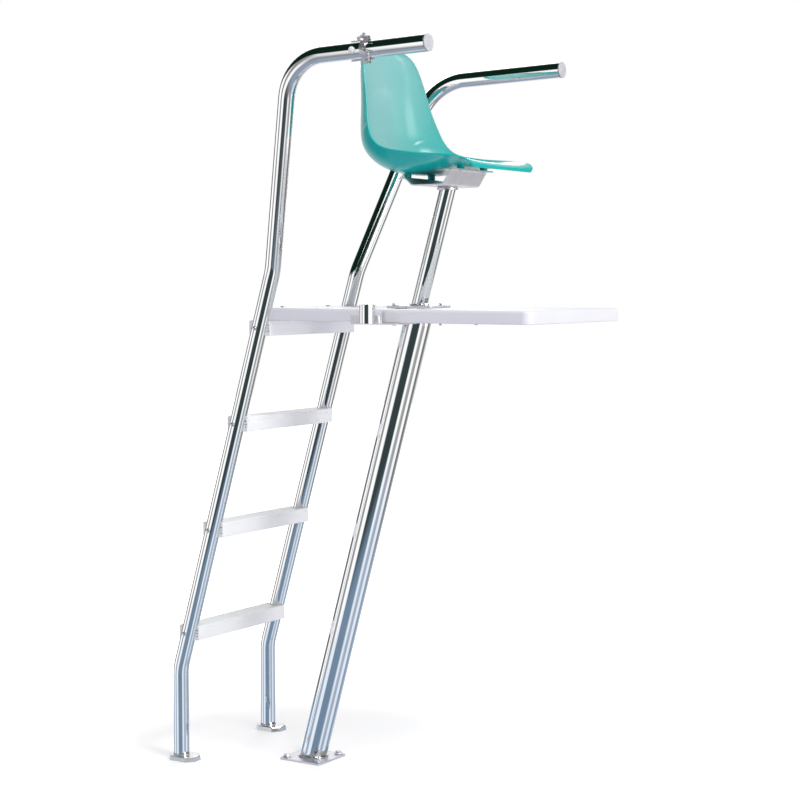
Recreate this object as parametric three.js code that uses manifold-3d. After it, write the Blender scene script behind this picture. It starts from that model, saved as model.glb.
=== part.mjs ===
// Lifeguard chair: two bent tube rails with treads, a leaning post, two boards and a swivelling shell seat.
// Millimetres, Z up. The sitter faces -Y, so a distance called forward is -Y.
// The origin is the middle of the base plate's underside.
import * as THREE from "three";
import { LoftGeometry } from "three/addons/geometries/LoftGeometry.js";
import { mergeVertices } from "three/addons/utils/BufferGeometryUtils.js";
import Module from "manifold-3d";

// Fits
const touchGap = 0.3;
const boltPlay = 0.4;
const weldTolerance = 0.0001;
const weldLeg = 6;

// Side rails: 1.9 inch tube, 18 inches apart
const railOuter = 48.3;
const railWall = 2.8;
const railSpacing = 457;
const railFootBack = 342;
const railKneeHeight = 289.6;
const railLean = 0.292;
const flareAboveBoards = 110;
const railFlareForward = 183;
const railBendRadius = 150;
const armSpacing = 786;
const armAboveBoards = 708.6;
const armRise = 0.033;
const armFront = 660;
const armBendRadius = 156;

// End caps of the arms
const capFlange = 2.5;
const capDome = 3;
const capPlugLength = 18;
const capPlugWall = 3;
const capPlugPlay = 1.2;

// Foot covers of the rails
const coverLength = 102;
const coverWidth = 76;
const coverForward = 12;
const coverHeight = 16;
const coverSlope = 8;
const coverWall = 1.5;
const coverCorner = 22;

// Post and its base plate
const postOuter = 83;
const postWall = 3;
const postLean = 0.281;
const plateSide = 152.4;
const plateThickness = 6.35;
const plateCorner = 10;
const plateBoltInset = 18;
const plateBoltHole = 14;

// Treads
const treadTops = [425, 755.3, 1086];
const treadDepth = 76.2;
const treadHeight = 45.5;
const treadEdge = 4;
const treadSkin = 5;
const treadRib = 6;
const treadEndBlock = 66;
const treadPockets = 3;
const treadGrooves = 7;
const treadGroovePitch = 9;
const treadGrooveWidth = 2.4;
const treadGrooveDepth = 1.2;
const treadLipDrop = 9;
const treadLipHeight = 2.4;
const treadLipDepth = 1.6;
const treadSlots = 3;
const treadSlotWidth = 8;
const treadSlotHeight = 3.2;
const treadSlotDepth = 9;
const treadSlotPitch = 9;
const treadSlotForward = 31;

// Boards
const boardTop = 1417;
const boardThickness = 38.1;
const boardTopEase = 9;
const boardUnderEase = 3;
const boardPostClearance = 2;
const stepBehindRail = 25.2;
const stepBehindPost = 48.2;
const stepCorner = 14;
const stepScrewSide = 122;
const stepScrewInset = 16;
const footAheadOfPost = 31.8;
const footDepth = 488;
const footInsidePole = 58;
const footCorner = 26;

// Plates above and below the boards
const topPlateThickness = 6;
const topPlateWidth = 118;
const topPlateBehindPost = 87.2;
const topPlateAheadOfPost = 70.8;
const underPlateThickness = 6;
const underPlateAheadOfPost = 241.8;
const tiePlateCorner = 8;
const tieBoltSide = 48;
const tieBoltBehindPost = 60.2;
const tieBoltAheadOfPost = 43.8;
const underScrewAheadOfPost = 217.8;

// Seat post and swivel
const seatPostOuter = 48.3;
const seatPostWall = 3.7;
const seatPostBehindPost = 6.2;
const swivelAheadOfPost = 91.8;
const hubRadius = 31;
const hubThickness = 6;
const spindleRadius = 10;
const spindleStand = 13;
const washerRadius = 28;
const washerThickness = 3;
const swivelNutWidth = 30;
const swivelNutHeight = 10;

// Seat bracket: bent sheet, placed from the swivel's axis and hung below the shell
const bracketSheet = 4;
const bracketLength = 208;
const bracketBottomBehind = 60;
const bracketBottomAhead = 45;
const bracketBackFlange = 84;
const bracketFrontFlange = 72;
const bracketFlangeWidth = 24;
const bracketDepth = 21.4;
const backBossStand = 13;
const frontBossStand = 10.5;

// Seat shell: its height over the boards, its size, and its front lip's distance ahead of the swivel
const seatAboveBoards = 394;
const shellDepth = 444;
const shellBackHeight = 385;
const shellHalfWidth = 215;
const shellRimRise = 98;
const shellLipAhead = 185;
const shellThickness = 4.6;
const shellRimThickness = 7.5;
const shellRimShare = 0.93;
const shellBowl = 3.6;
const shellLipRound = 2.2;
const shellLipShare = 0.8;

// The shell from its front lip to the top of its back: shares of its depth, height, half width and rim rise,
// and the angle in degrees at which the rims stand, from upright towards the front
const shellStations = [
  { depth: 0, height: 0.0156, half: 0.7814, rise: 0, tilt: 0 },
  { depth: 0.0045, height: 0.0416, half: 0.8558, rise: 0.0306, tilt: 0 },
  { depth: 0.0428, height: 0.0636, half: 0.9116, rise: 0.0867, tilt: 0 },
  { depth: 0.1351, height: 0.0649, half: 0.9488, rise: 0.1633, tilt: 0 },
  { depth: 0.259, height: 0.0416, half: 0.9721, rise: 0.3061, tilt: 2 },
  { depth: 0.3941, height: 0.0195, half: 0.986, rise: 0.4439, tilt: 6 },
  { depth: 0.5293, height: 0.0039, half: 0.9953, rise: 0.5969, tilt: 12 },
  { depth: 0.6419, height: 0, half: 1, rise: 0.7143, tilt: 20 },
  { depth: 0.7613, height: 0.0338, half: 0.9953, rise: 0.8163, tilt: 33 },
  { depth: 0.8626, height: 0.1039, half: 0.9767, rise: 0.9388, tilt: 47 },
  { depth: 0.9279, height: 0.1948, half: 0.9488, rise: 1, tilt: 61 },
  { depth: 0.9482, height: 0.3091, half: 0.9163, rise: 0.9184, tilt: 70 },
  { depth: 0.955, height: 0.4312, half: 0.8558, rise: 0.8163, tilt: 75 },
  { depth: 0.9595, height: 0.5714, half: 0.8, rise: 0.7143, tilt: 79 },
  { depth: 0.9685, height: 0.7247, half: 0.7535, rise: 0.6224, tilt: 83 },
  { depth: 0.982, height: 0.8675, half: 0.6791, rise: 0.5306, tilt: 85 },
  { depth: 0.9932, height: 0.9532, half: 0.586, rise: 0.4082, tilt: 87 },
  { depth: 1, height: 1, half: 0.4093, rise: 0.2449, tilt: 88 },
];
const shellPanStart = 0.1;
const shellPanEnd = 0.5;
const shellSearchRounds = 40;
const shellSlopeStep = 0.002;
const shellRows = 24;
const shellColumns = 12;
const bossRadius = 11;
const seatBoltSide = 67;

// Umbrella sleeve and its bracket
const poleInsideArm = 52;
const poleAheadOfPost = 31.8;
const sleeveOuter = 44.5;
const sleeveBore = 39;
const sleeveBelowBoards = 39;
const sleeveHeight = 53;
const sleeveFloor = 4;
const strapSheet = 4;
const strapBehindPole = 71;
const strapAheadOfPole = 70;
const strapLipAheadOfPole = 29;
const strapTopBelowBoards = 16;
const strapReach = 95;
const strapScrewInsets = [18, 73];
const strapScrewAheadOfPole = 44;

// Umbrella clamp on the right arm
const clampPoleWall = 4.5;
const clampPoleHalf = 16;
const clampBridge = 12;
const clampWall = 4;
const clampBehindPole = 18;
const clampAheadOfPole = 46;
const bandAheadOfPole = 35;
const clampBandWidth = 17;
const clampEarHeight = 9;
const clampEarThickness = 5;
const clampSplit = 0.5;
const clampBoltHeight = 33;
const wingReach = 10;
const wingRadius = 5.2;
const wingThickness = 3.5;
const wingHub = 3.6;
const wingNeck = 20;
const wingTurn = -0.5;
const hookRod = 2.5;
const hookOut = 5;
const hookForward = 26;
const hookDrop = 33;

// Screws and bolts: shank and head radii, head heights
const anchorBolt = { shank: 6, head: 10.4, height: 8, washer: 14, washerHeight: 2.5 };
const treadBolt = { shank: 4, head: 6.8, height: 4.5, length: 84 };
const tieBolt = { shank: 5, head: 9, height: 6.4, washer: 10.5, washerHeight: 2 };
const tieNut = { width: 9.2, height: 8 };
const boardScrew = { shank: 4, head: 6.5, height: 4, length: 50 };
const strapScrew = { shank: 3, head: 5.5, height: 3, length: 20 };
const seatBolt = { shank: 3, head: 5.8, height: 4, length: 10 };
const clampBolt = { shank: 2.5, head: 4.6, height: 3.5 };
const capScrew = { shank: 4, head: 10, height: 8 };

// Roundness
const tubeSides = 24;
const boreSides = 16;
const smallSides = 8;
const bendSteps = 2;
const armBendSteps = 6;
const cornerSteps = 4;
const domeSteps = 2;
const hexSides = 6;
const boardEaseSteps = 3;

// Looks
const polished = { color: "#d6d9dd", roughness: 0.16, metalness: 1 };
const brushed = { color: "#c9ccd0", roughness: 0.3, metalness: 1 };
const whitePlastic = { color: "#eef0f4", roughness: 0.5, metalness: 0 };
const greyPlastic = { color: "#c4c6cb", roughness: 0.5, metalness: 0 };
const tealPlastic = { color: "#128f86", roughness: 0.22, metalness: 0 };

const wasm = await Module();
wasm.setup();

const chair = new THREE.Group();
chair.name = "lifeguard_chair";

// A point given as across, forward and up.
function point(across, forward, up) {
  return new THREE.Vector3(across, -forward, up);
}

// A three.js geometry as a solid that can be cut and joined.
function solid(geometry) {
  const bare = geometry.index ? geometry.toNonIndexed() : geometry.clone();
  bare.deleteAttribute("uv");
  bare.deleteAttribute("normal");
  const merged = mergeVertices(bare, weldTolerance);
  return new wasm.Manifold(
    new wasm.Mesh({
      numProp: 3,
      vertProperties: merged.attributes.position.array,
      triVerts: new Uint32Array(merged.index.array),
    }),
  );
}

// Adds one finished solid to the chair as a named piece.
function piece(name, body, look) {
  const mesh = body.getMesh();
  const geometry = new THREE.BufferGeometry();
  geometry.setAttribute("position", new THREE.BufferAttribute(mesh.vertProperties, 3));
  geometry.setIndex(new THREE.BufferAttribute(mesh.triVerts, 1));
  geometry.computeVertexNormals();
  const made = new THREE.Mesh(geometry, new THREE.MeshStandardMaterial(look));
  made.name = name;
  chair.add(made);
}

// A box between two corners.
function block(low, high) {
  const size = high.clone().sub(low);
  const middle = low.clone().add(high).divideScalar(2);
  const box = new THREE.BoxGeometry(Math.abs(size.x), Math.abs(size.y), Math.abs(size.z));
  return solid(box.translate(middle.x, middle.y, middle.z));
}

// Turns a geometry made along +Y to run along a direction from a place.
function aimed(geometry, from, direction) {
  const turn = new THREE.Quaternion().setFromUnitVectors(
    new THREE.Vector3(0, 1, 0),
    direction.clone().normalize(),
  );
  return solid(geometry.applyQuaternion(turn).translate(from.x, from.y, from.z));
}

// A round rod between two points.
function rod(from, to, radius, sides) {
  const run = to.clone().sub(from);
  const cylinder = new THREE.CylinderGeometry(radius, radius, run.length(), sides);
  return aimed(cylinder.translate(0, run.length() / 2, 0), from, run);
}

// A profile of radius and height pairs turned about its axis, set at a place along a direction.
function turned(profile, from, direction, sides) {
  const points = profile.map(([radius, height]) => new THREE.Vector2(radius, height));
  return aimed(new THREE.LatheGeometry(points, sides), from, direction);
}

// Points of a circle.
function circle(radius, sides) {
  return Array.from({ length: sides }, (unused, i) => {
    const angle = (i / sides) * Math.PI * 2;
    return new THREE.Vector2(Math.cos(angle) * radius, Math.sin(angle) * radius);
  });
}

// A rectangle with round corners, in across and forward.
function roundedRectangle(side, back, front, corner) {
  const shape = new THREE.Shape();
  const quarter = Math.PI / 2;
  shape.absarc(side - corner, -back - corner, corner, 0, quarter);
  shape.absarc(-side + corner, -back - corner, corner, quarter, quarter * 2);
  shape.absarc(-side + corner, -front + corner, corner, quarter * 2, quarter * 3);
  shape.absarc(side - corner, -front + corner, corner, quarter * 3, quarter * 4);
  return shape;
}

// A flat plate with square edges.
function flatPlate(shape, bottom, thickness) {
  const options = { depth: thickness, bevelEnabled: false, curveSegments: cornerSteps };
  return solid(new THREE.ExtrudeGeometry(shape, options).translate(0, 0, bottom));
}

// A board with round top edges and lightly eased lower ones, skinned over its outlines.
function easedBoard(side, back, front, corner) {
  const levels = [
    { inset: boardUnderEase, height: 0 },
    { inset: 0, height: boardUnderEase },
  ];
  for (let i = 0; i <= boardEaseSteps; i++) {
    const angle = ((i / boardEaseSteps) * Math.PI) / 2;
    levels.push({
      inset: boardTopEase * (1 - Math.cos(angle)),
      height: boardThickness - boardTopEase * (1 - Math.sin(angle)),
    });
  }
  const sections = levels.map(({ inset, height }) => {
    const shape = roundedRectangle(side - inset, back + inset, front - inset, corner - inset);
    const level = boardBottom + height;
    return shape.getPoints(cornerSteps).map((p) => new THREE.Vector3(p.x, p.y, level));
  });
  return between(sections);
}

// A shape drawn in forward and up, run across the chair and centred.
function alongAcross(shape, length) {
  const basis = new THREE.Matrix4().makeBasis(
    new THREE.Vector3(0, -1, 0),
    new THREE.Vector3(0, 0, 1),
    new THREE.Vector3(-1, 0, 0),
  );
  const options = { depth: length, bevelEnabled: false, curveSegments: cornerSteps };
  const geometry = new THREE.ExtrudeGeometry(shape, options);
  return solid(geometry.applyMatrix4(basis).translate(length / 2, 0, 0));
}

// A tube path: straight runs joined by arcs, with stations only where it bends.
class BentPath extends THREE.Curve {
  constructor(corners, radii, steps) {
    super();
    this.stations = [];
    const last = corners.length - 1;
    const runs = corners.slice(1).map((end, i) => end.clone().sub(corners[i]).normalize());
    this.addStation(corners[0], runs[0]);
    for (let i = 1; i < last; i++) this.addArc(corners[i], runs[i - 1], runs[i], radii[i - 1], steps[i - 1]);
    this.addStation(corners[last], runs[last - 1]);
  }
  addStation(place, tangent) {
    this.stations.push({ place: place.clone(), tangent: tangent.clone() });
  }
  addArc(corner, before, after, radius, steps) {
    const angle = before.angleTo(after);
    const axis = before.clone().cross(after).normalize();
    const start = corner.clone().addScaledVector(before, -radius * Math.tan(angle / 2));
    const inward = axis.clone().cross(before);
    const centre = start.clone().addScaledVector(inward, radius);
    for (let i = 0; i <= steps; i++) {
      const turn = (angle * i) / steps;
      const spoke = inward.clone().negate().applyAxisAngle(axis, turn);
      this.addStation(
        centre.clone().addScaledVector(spoke, radius),
        before.clone().applyAxisAngle(axis, turn),
      );
    }
  }
  stationAt(share) {
    return this.stations[Math.round(share * (this.stations.length - 1))];
  }
  getPoint(share, target = new THREE.Vector3()) {
    return target.copy(this.stationAt(share).place);
  }
  getPointAt(share, target = new THREE.Vector3()) {
    return this.getPoint(share, target);
  }
  getTangentAt(share, target = new THREE.Vector3()) {
    return target.copy(this.stationAt(share).tangent);
  }
}

// A tube, or a rod when the bore is zero, along a bent path.
function bentTube(path, outer, bore, sides) {
  const shape = new THREE.Shape(circle(outer, sides));
  if (bore > 0) shape.holes.push(new THREE.Path(circle(bore, boreSides)));
  const options = { steps: path.stations.length - 1, extrudePath: path };
  return solid(new THREE.ExtrudeGeometry(shape, options));
}

// A level cut through a leaning round tube: an ellipse.
function leaningRing(forward, height, radius, lean, sides) {
  const stretch = Math.sqrt(1 + lean * lean);
  return circle(radius, sides).map((p) =>
    new THREE.Vector3(p.x, p.y * stretch - forward, height),
  );
}

// A solid skinned over sections. Ends that close on themselves need no cap.
function between(sections, capped = true) {
  return solid(new LoftGeometry(sections, { capStart: capped, capEnd: capped }));
}

// A leaning tube cut level at both ends, with a weld bead round its foot.
function leaningTube(forwardAt, low, high, radius, wall, lean) {
  const ring = (height, size, sides) => leaningRing(forwardAt(height), height, size, lean, sides);
  const body = between([ring(low, radius, tubeSides), ring(high, radius, tubeSides)]);
  const bead = between([
    ring(low, radius + weldLeg, tubeSides),
    ring(low + weldLeg, radius + touchGap, tubeSides),
  ]);
  const past = railOuter;
  const bore = between([
    ring(low - past, radius - wall, boreSides),
    ring(high + past, radius - wall, boreSides),
  ]);
  return body.add(bead).subtract(bore);
}

// A bent sheet: a line of points in forward and up, given its thickness.
function bentSheet(line, thickness) {
  const half = thickness / 2;
  const side = (sign) =>
    line.map((p, i) => {
      const before = i > 0 ? p.clone().sub(line[i - 1]).normalize() : null;
      const after = i < line.length - 1 ? line[i + 1].clone().sub(p).normalize() : null;
      const along = (before ?? after).clone().add(after ?? before).normalize();
      const square = new THREE.Vector2(-along.y, along.x);
      const reach = half / Math.abs(along.dot(before ?? after));
      return p.clone().addScaledVector(square, sign * reach);
    });
  return new THREE.Shape([...side(-1), ...side(1).reverse()]);
}

// A bolt with a hexagon head on a washer, head towards the given direction.
function hexBolt(seat, direction, bolt, length) {
  const dir = direction.clone().normalize();
  const onto = (from, run) => from.clone().addScaledVector(dir, run);
  const washerTop = bolt.washerHeight ?? 0;
  let body = rod(onto(seat, -length), onto(seat, washerTop + bolt.height / 2), bolt.shank, smallSides);
  if (washerTop > 0) body = body.add(rod(seat, onto(seat, washerTop), bolt.washer, smallSides * 2));
  return body.add(rod(onto(seat, washerTop), onto(seat, washerTop + bolt.height), bolt.head, hexSides));
}

// A bolt with a domed head, head towards the given direction.
function domedBolt(seat, direction, bolt, length) {
  const rounds = domeSteps;
  const dome = Array.from({ length: rounds + 1 }, (unused, i) => {
    const angle = ((i / rounds) * Math.PI) / 2;
    return [bolt.head * Math.cos(angle), bolt.height * Math.sin(angle)];
  });
  dome[rounds][0] = 0;
  const profile = [[0, -length], [bolt.shank, -length], [bolt.shank, 0], ...dome];
  return turned(profile, seat, direction, smallSides);
}

const up = new THREE.Vector3(0, 0, 1);
const down = new THREE.Vector3(0, 0, -1);
const railRadius = railOuter / 2;
const railHalf = railSpacing / 2;
const armHalf = armSpacing / 2;
const poleSide = armHalf - poleInsideArm;
const footHalf = poleSide - footInsidePole;

// Lengths that follow from the boards' height, the rails and the post.
const postAtBoards = postForward(boardTop);
const railAtBoards = (boardTop - railKneeHeight) * railLean - railFootBack;
const railFlareHeight = boardTop + flareAboveBoards;
const armHeight = boardTop + armAboveBoards;
const stepBack = stepBehindRail - railAtBoards;
const stepFront = postAtBoards - stepBehindPost;
const footBack = postAtBoards + footAheadOfPost;
const footFront = footBack + footDepth;
const topPlateBack = postAtBoards - topPlateBehindPost;
const topPlateFront = postAtBoards + topPlateAheadOfPost;
const underPlateFront = postAtBoards + underPlateAheadOfPost;
const tieBoltBack = postAtBoards - tieBoltBehindPost;
const tieBoltFront = postAtBoards + tieBoltAheadOfPost;
const underScrewForward = postAtBoards + underScrewAheadOfPost;
const seatPostFoot = postAtBoards - seatPostBehindPost;
const swivelForward = postAtBoards + swivelAheadOfPost;
const poleForward = postAtBoards + poleAheadOfPost;
const bandForward = poleForward + bandAheadOfPole;
const strapScrewForward = poleForward + strapScrewAheadOfPole;
const postRadius = postOuter / 2;
const seatPostRadius = seatPostOuter / 2;
const boardBottom = boardTop - boardThickness;
const underPlateTop = boardBottom - touchGap;
const underPlateBottom = underPlateTop - underPlateThickness;
const topPlateBottom = boardTop + touchGap;
const topPlateTop = topPlateBottom + topPlateThickness;
const strapBottom = underPlateTop - strapSheet;
const railSlopeForward = (railFlareHeight - railKneeHeight) * railLean - railFootBack;

// The rail's centre on its leaning straight run.
function railAt(side, height) {
  return point(side * railHalf, (height - railKneeHeight) * railLean - railFootBack, height);
}

// The arm's centre on its straight run, for one side.
function armAt(side, forward) {
  const cornerForward = railSlopeForward + railFlareForward;
  return point(side * armHalf, forward, armHeight + (forward - cornerForward) * armRise);
}

function postForward(height) {
  return height * postLean;
}

const seatHeight = boardTop + seatAboveBoards;
const shellLine = new THREE.CatmullRomCurve3(
  shellStations.map((s) => {
    const forward = swivelForward + shellLipAhead - s.depth * shellDepth;
    return new THREE.Vector3(forward, seatHeight + s.height * shellBackHeight, s.half * shellHalfWidth);
  }),
);
const shellRims = new THREE.CatmullRomCurve3(
  shellStations.map((s) => new THREE.Vector3(s.rise * shellRimRise, THREE.MathUtils.degToRad(s.tilt), 0)),
);

// The share of the shell's line at which the pan passes a forward distance.
function shellShareAt(forward) {
  let low = shellPanStart;
  let high = shellPanEnd;
  for (let i = 0; i < shellSearchRounds; i++) {
    const middle = (low + high) / 2;
    if (shellLine.getPoint(middle).x > forward) low = middle;
    else high = middle;
  }
  return low;
}

function shellHeightAt(forward) {
  return shellLine.getPoint(shellShareAt(forward)).y;
}

// The bracket's flanges hang below the shell, and the swivel is stacked down from the bracket.
const backFlangeForward = swivelForward - bracketBackFlange;
const frontFlangeForward = swivelForward + bracketFrontFlange;
const backBoltForward = backFlangeForward - bracketFlangeWidth / 2;
const frontBoltForward = frontFlangeForward + bracketFlangeWidth / 2;
const bracketBackHeight = shellHeightAt(backBoltForward) - backBossStand;
const bracketFrontHeight = shellHeightAt(frontBoltForward) - frontBossStand;
const bracketBottom = bracketBackHeight - bracketDepth - bracketSheet / 2;
const bracketTop = bracketBottom + bracketSheet;
const washerBottom = bracketBottom - touchGap - washerThickness;
const hubBottom = washerBottom - touchGap - hubThickness;
const seatPostTop = hubBottom - touchGap;

const seatPostLean = (swivelForward - seatPostFoot) / (seatPostTop - topPlateTop);
function seatPostForward(height) {
  return seatPostFoot + (height - topPlateTop) * seatPostLean;
}

const sides = { right: -1, left: 1 };
const treadLevels = [...treadTops, boardBottom - touchGap];

// Each tread bolt runs across its rail at the middle of the tread's height.
function treadBoltLine(side, top) {
  const centre = railAt(side, top - treadHeight / 2);
  const outward = new THREE.Vector3(side, 0, 0);
  const seat = centre.clone().addScaledVector(outward, railRadius + touchGap);
  return { seat, outward };
}

// One bent rail: foot, ladder run, outward flare and forward arm, drilled for the tread bolts.
function sideRail(side) {
  const corners = [
    point(side * railHalf, -railFootBack, 0),
    point(side * railHalf, -railFootBack, railKneeHeight),
    point(side * railHalf, railSlopeForward, railFlareHeight),
    armAt(side, railSlopeForward + railFlareForward),
    armAt(side, armFront),
  ];
  const radii = [railBendRadius, railBendRadius, armBendRadius];
  const path = new BentPath(corners, radii, [bendSteps, bendSteps, armBendSteps]);
  let body = bentTube(path, railRadius, railRadius - railWall, tubeSides);
  for (const top of treadLevels) {
    const { seat, outward } = treadBoltLine(side, top);
    const inner = seat.clone().addScaledVector(outward, -railOuter * 2);
    body = body.subtract(rod(inner, seat, treadBolt.shank + boltPlay, smallSides));
  }
  if (side === sides.right) {
    const centre = armAt(side, poleForward);
    const reach = new THREE.Vector3(railOuter, 0, 0);
    const ends = [centre.clone().sub(reach), centre.clone().add(reach)];
    body = body.subtract(rod(...ends, capScrew.shank + boltPlay, smallSides));
  }
  return body;
}

// A domed cap with a hollow plug, pushed into the arm's open end.
function armCap(side) {
  const end = armAt(side, armFront);
  const direction = end.clone().sub(armAt(side, 0)).normalize();
  const plug = railRadius - railWall - capPlugPlay;
  const face = railRadius;
  const seat = end.addScaledVector(direction, touchGap);
  const profile = [
    [0, 0],
    [plug - capPlugWall, 0],
    [plug - capPlugWall, -capPlugLength],
    [plug, -capPlugLength],
    [plug, 0],
    [face, 0],
    [face, capFlange],
    [face - capDome, capFlange + capDome / 2],
    [face / 2, capFlange + capDome],
    [0, capFlange + capDome],
  ];
  return turned(profile, seat, direction, boreSides);
}

// An eight-sided outline that is longer than it is wide.
function octagon(centre, length, width, height) {
  const corner = coverCorner * (width / coverWidth);
  const a = width / 2;
  const b = length / 2;
  const outline = [[a, b - corner], [a - corner, b], [corner - a, b], [-a, b - corner]];
  const mirrored = outline.map(([x, y]) => [-x, -y]);
  return [...outline, ...mirrored].map(([x, y]) => new THREE.Vector3(centre.x + x, centre.y + y, height));
}

// A pressed foot cover with sloping sides, open below, with a hole for the rail.
function footCover(side) {
  const centre = point(side * railHalf, coverForward - railFootBack, 0);
  const foot = point(side * railHalf, -railFootBack, 0);
  const low = (inset, height) =>
    octagon(centre, coverLength - inset * 2, coverWidth - inset * 2, height);
  const outer = between([low(0, 0), low(coverSlope, coverHeight)]);
  const inner = between([
    low(coverWall, -coverWall),
    low(coverWall, 0),
    low(coverSlope + coverWall, coverHeight - coverWall),
  ]);
  const tall = foot.clone().addScaledVector(up, coverHeight * 2);
  const hole = rod(foot.clone().addScaledVector(down, coverHeight), tall, railRadius + touchGap, tubeSides);
  return outer.subtract(inner).subtract(hole);
}

// The tread's section: eased corners, grooves on top for grip, a shadow line under the nose.
function treadSection() {
  const front = treadDepth / 2;
  const half = treadHeight / 2;
  const quarter = Math.PI / 2;
  const shape = new THREE.Shape();
  shape.absarc(front - treadEdge, treadEdge - half, treadEdge, -quarter, 0);
  shape.lineTo(front, half - treadLipDrop - treadLipHeight);
  shape.lineTo(front - treadLipDepth, half - treadLipDrop - treadLipHeight / 2);
  shape.lineTo(front, half - treadLipDrop);
  shape.absarc(front - treadEdge, half - treadEdge, treadEdge, 0, quarter);
  for (let i = 0; i < treadGrooves; i++) {
    const middle = ((treadGrooves - 1) / 2 - i) * treadGroovePitch;
    shape.lineTo(middle + treadGrooveWidth / 2, half);
    shape.lineTo(middle, half - treadGrooveDepth);
    shape.lineTo(middle - treadGrooveWidth / 2, half);
  }
  shape.absarc(treadEdge - front, half - treadEdge, treadEdge, quarter, quarter * 2);
  shape.absarc(treadEdge - front, treadEdge - half, treadEdge, quarter * 2, quarter * 3);
  return shape;
}

// A moulded tread: grooved top, ribbed hollow underside, ends cupped round the rails and slotted.
function tread(top) {
  const height = top - treadHeight / 2;
  const centre = railAt(0, height);
  const forward = -centre.y;
  let body = alongAcross(treadSection(), railSpacing).translate(0, centre.y, height);
  const room = railSpacing - treadEndBlock * 2 - treadRib * (treadPockets - 1);
  for (let i = 0; i < treadPockets; i++) {
    const start = treadEndBlock - railHalf + i * (room / treadPockets + treadRib);
    const inset = treadDepth / 2 - treadSkin;
    const low = point(start, forward - inset, top - treadHeight * 2);
    const high = point(start + room / treadPockets, forward + inset, top - treadSkin - treadGrooveDepth);
    body = body.subtract(block(low, high));
  }
  for (const side of Object.values(sides)) {
    const below = railAt(side, height - treadHeight * 2);
    const above = railAt(side, height + treadHeight * 2);
    body = body.subtract(rod(below, above, railRadius + touchGap, tubeSides));
    const { seat, outward } = treadBoltLine(side, top);
    const deep = seat.clone().addScaledVector(outward, -treadBolt.length - boltPlay);
    body = body.subtract(rod(deep, seat, treadBolt.shank + boltPlay, smallSides));
    if (top > treadTops.at(-1)) {
      body = body.subtract(upright(stepScrewPlace(side), boardScrew.shank + boltPlay));
    }
    for (let i = 0; i < treadSlots; i++) {
      const level = height + (i - (treadSlots - 1) / 2) * treadSlotPitch;
      const middle = point(side * railHalf, forward + treadSlotForward, level);
      const reach = new THREE.Vector3(treadSlotDepth, treadSlotWidth / 2, treadSlotHeight / 2);
      body = body.subtract(block(middle.clone().sub(reach), middle.clone().add(reach)));
    }
  }
  return body;
}

// The step board: eased edges, notched round the rails, drilled for its screws and the tie bolts.
function stepBoard() {
  let body = easedBoard(railHalf, -stepBack, stepFront, stepCorner).subtract(postCutter());
  for (const side of Object.values(sides)) {
    const below = railAt(side, boardBottom - boardThickness);
    const above = railAt(side, boardTop + boardThickness);
    body = body.subtract(rod(below, above, railRadius + touchGap, tubeSides));
    body = body.subtract(upright(stepScrewPlace(side), boardScrew.shank + boltPlay));
  }
  for (const place of tieBoltPlaces(tieBoltBack)) body = body.subtract(tieBoltHole(place));
  return body;
}

// The post with some room round it, through both boards.
function postCutter() {
  const ring = (height) =>
    leaningRing(postForward(height), height, postRadius + boardPostClearance, postLean, tubeSides);
  return between([ring(boardBottom - boardThickness), ring(boardTop + boardThickness)]);
}

// A long upright cutter through the boards.
function upright(place, radius) {
  const reach = boardThickness * 3;
  return rod(
    new THREE.Vector3(place.x, place.y, boardTop - reach),
    new THREE.Vector3(place.x, place.y, boardTop + reach),
    radius,
    smallSides,
  );
}

function stepScrewPlace(side) {
  return point(side * stepScrewSide, stepScrewInset - stepBack, boardTop + touchGap);
}

// The tie bolts, through both plates and one of the boards: the rows at the given forward distances.
function tieBoltPlaces(...rows) {
  return rows.flatMap((forward) =>
    Object.values(sides).map((side) => point(side * tieBoltSide, forward, topPlateTop + touchGap)),
  );
}

function tieBoltHole(place) {
  return upright(place, tieBolt.shank + boltPlay);
}

// The wide footboard in front of the post.
function footBoard() {
  let body = easedBoard(footHalf, footBack, footFront, footCorner).subtract(postCutter());
  for (const place of tieBoltPlaces(tieBoltFront)) body = body.subtract(tieBoltHole(place));
  for (const place of underScrewPlaces()) body = body.subtract(blindHole(place));
  return body;
}

// Screws that come up into the footboard from below: two through the plate, two through the sleeve's strap.
function underScrewPlaces() {
  const plateSeat = underPlateBottom - touchGap;
  const strapSeat = strapBottom - touchGap;
  return [
    ...Object.values(sides).map((side) => point(side * tieBoltSide, underScrewForward, plateSeat)),
    ...strapScrewInsets.map((inset) => point(inset - footHalf, strapScrewForward, strapSeat)),
  ];
}

// A hole for one of those screws.
function blindHole(place) {
  const high = place.clone().addScaledVector(up, strapScrew.length + boltPlay);
  const low = place.clone().addScaledVector(down, strapScrew.length);
  return rod(low, high, strapScrew.shank + boltPlay, smallSides);
}

// A plate on the boards with the seat post's foot over it.
function topPlate() {
  const shape = roundedRectangle(topPlateWidth / 2, topPlateBack, topPlateFront, tiePlateCorner);
  let body = flatPlate(shape, topPlateBottom, topPlateThickness);
  for (const place of allTieBoltPlaces) body = body.subtract(tieBoltHole(place));
  return body;
}

// A plate under the boards, with a hole for the post.
function underPlate() {
  const shape = roundedRectangle(topPlateWidth / 2, topPlateBack, underPlateFront, tiePlateCorner);
  let body = flatPlate(shape, underPlateBottom, underPlateThickness);
  for (const place of allTieBoltPlaces) body = body.subtract(tieBoltHole(place));
  for (const place of underScrewPlaces()) body = body.subtract(blindHole(place));
  const ring = (height) =>
    leaningRing(postForward(height), height, postRadius + touchGap, postLean, tubeSides);
  const past = underPlateThickness;
  return body.subtract(between([ring(underPlateBottom - past), ring(underPlateTop + past)]));
}

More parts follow.
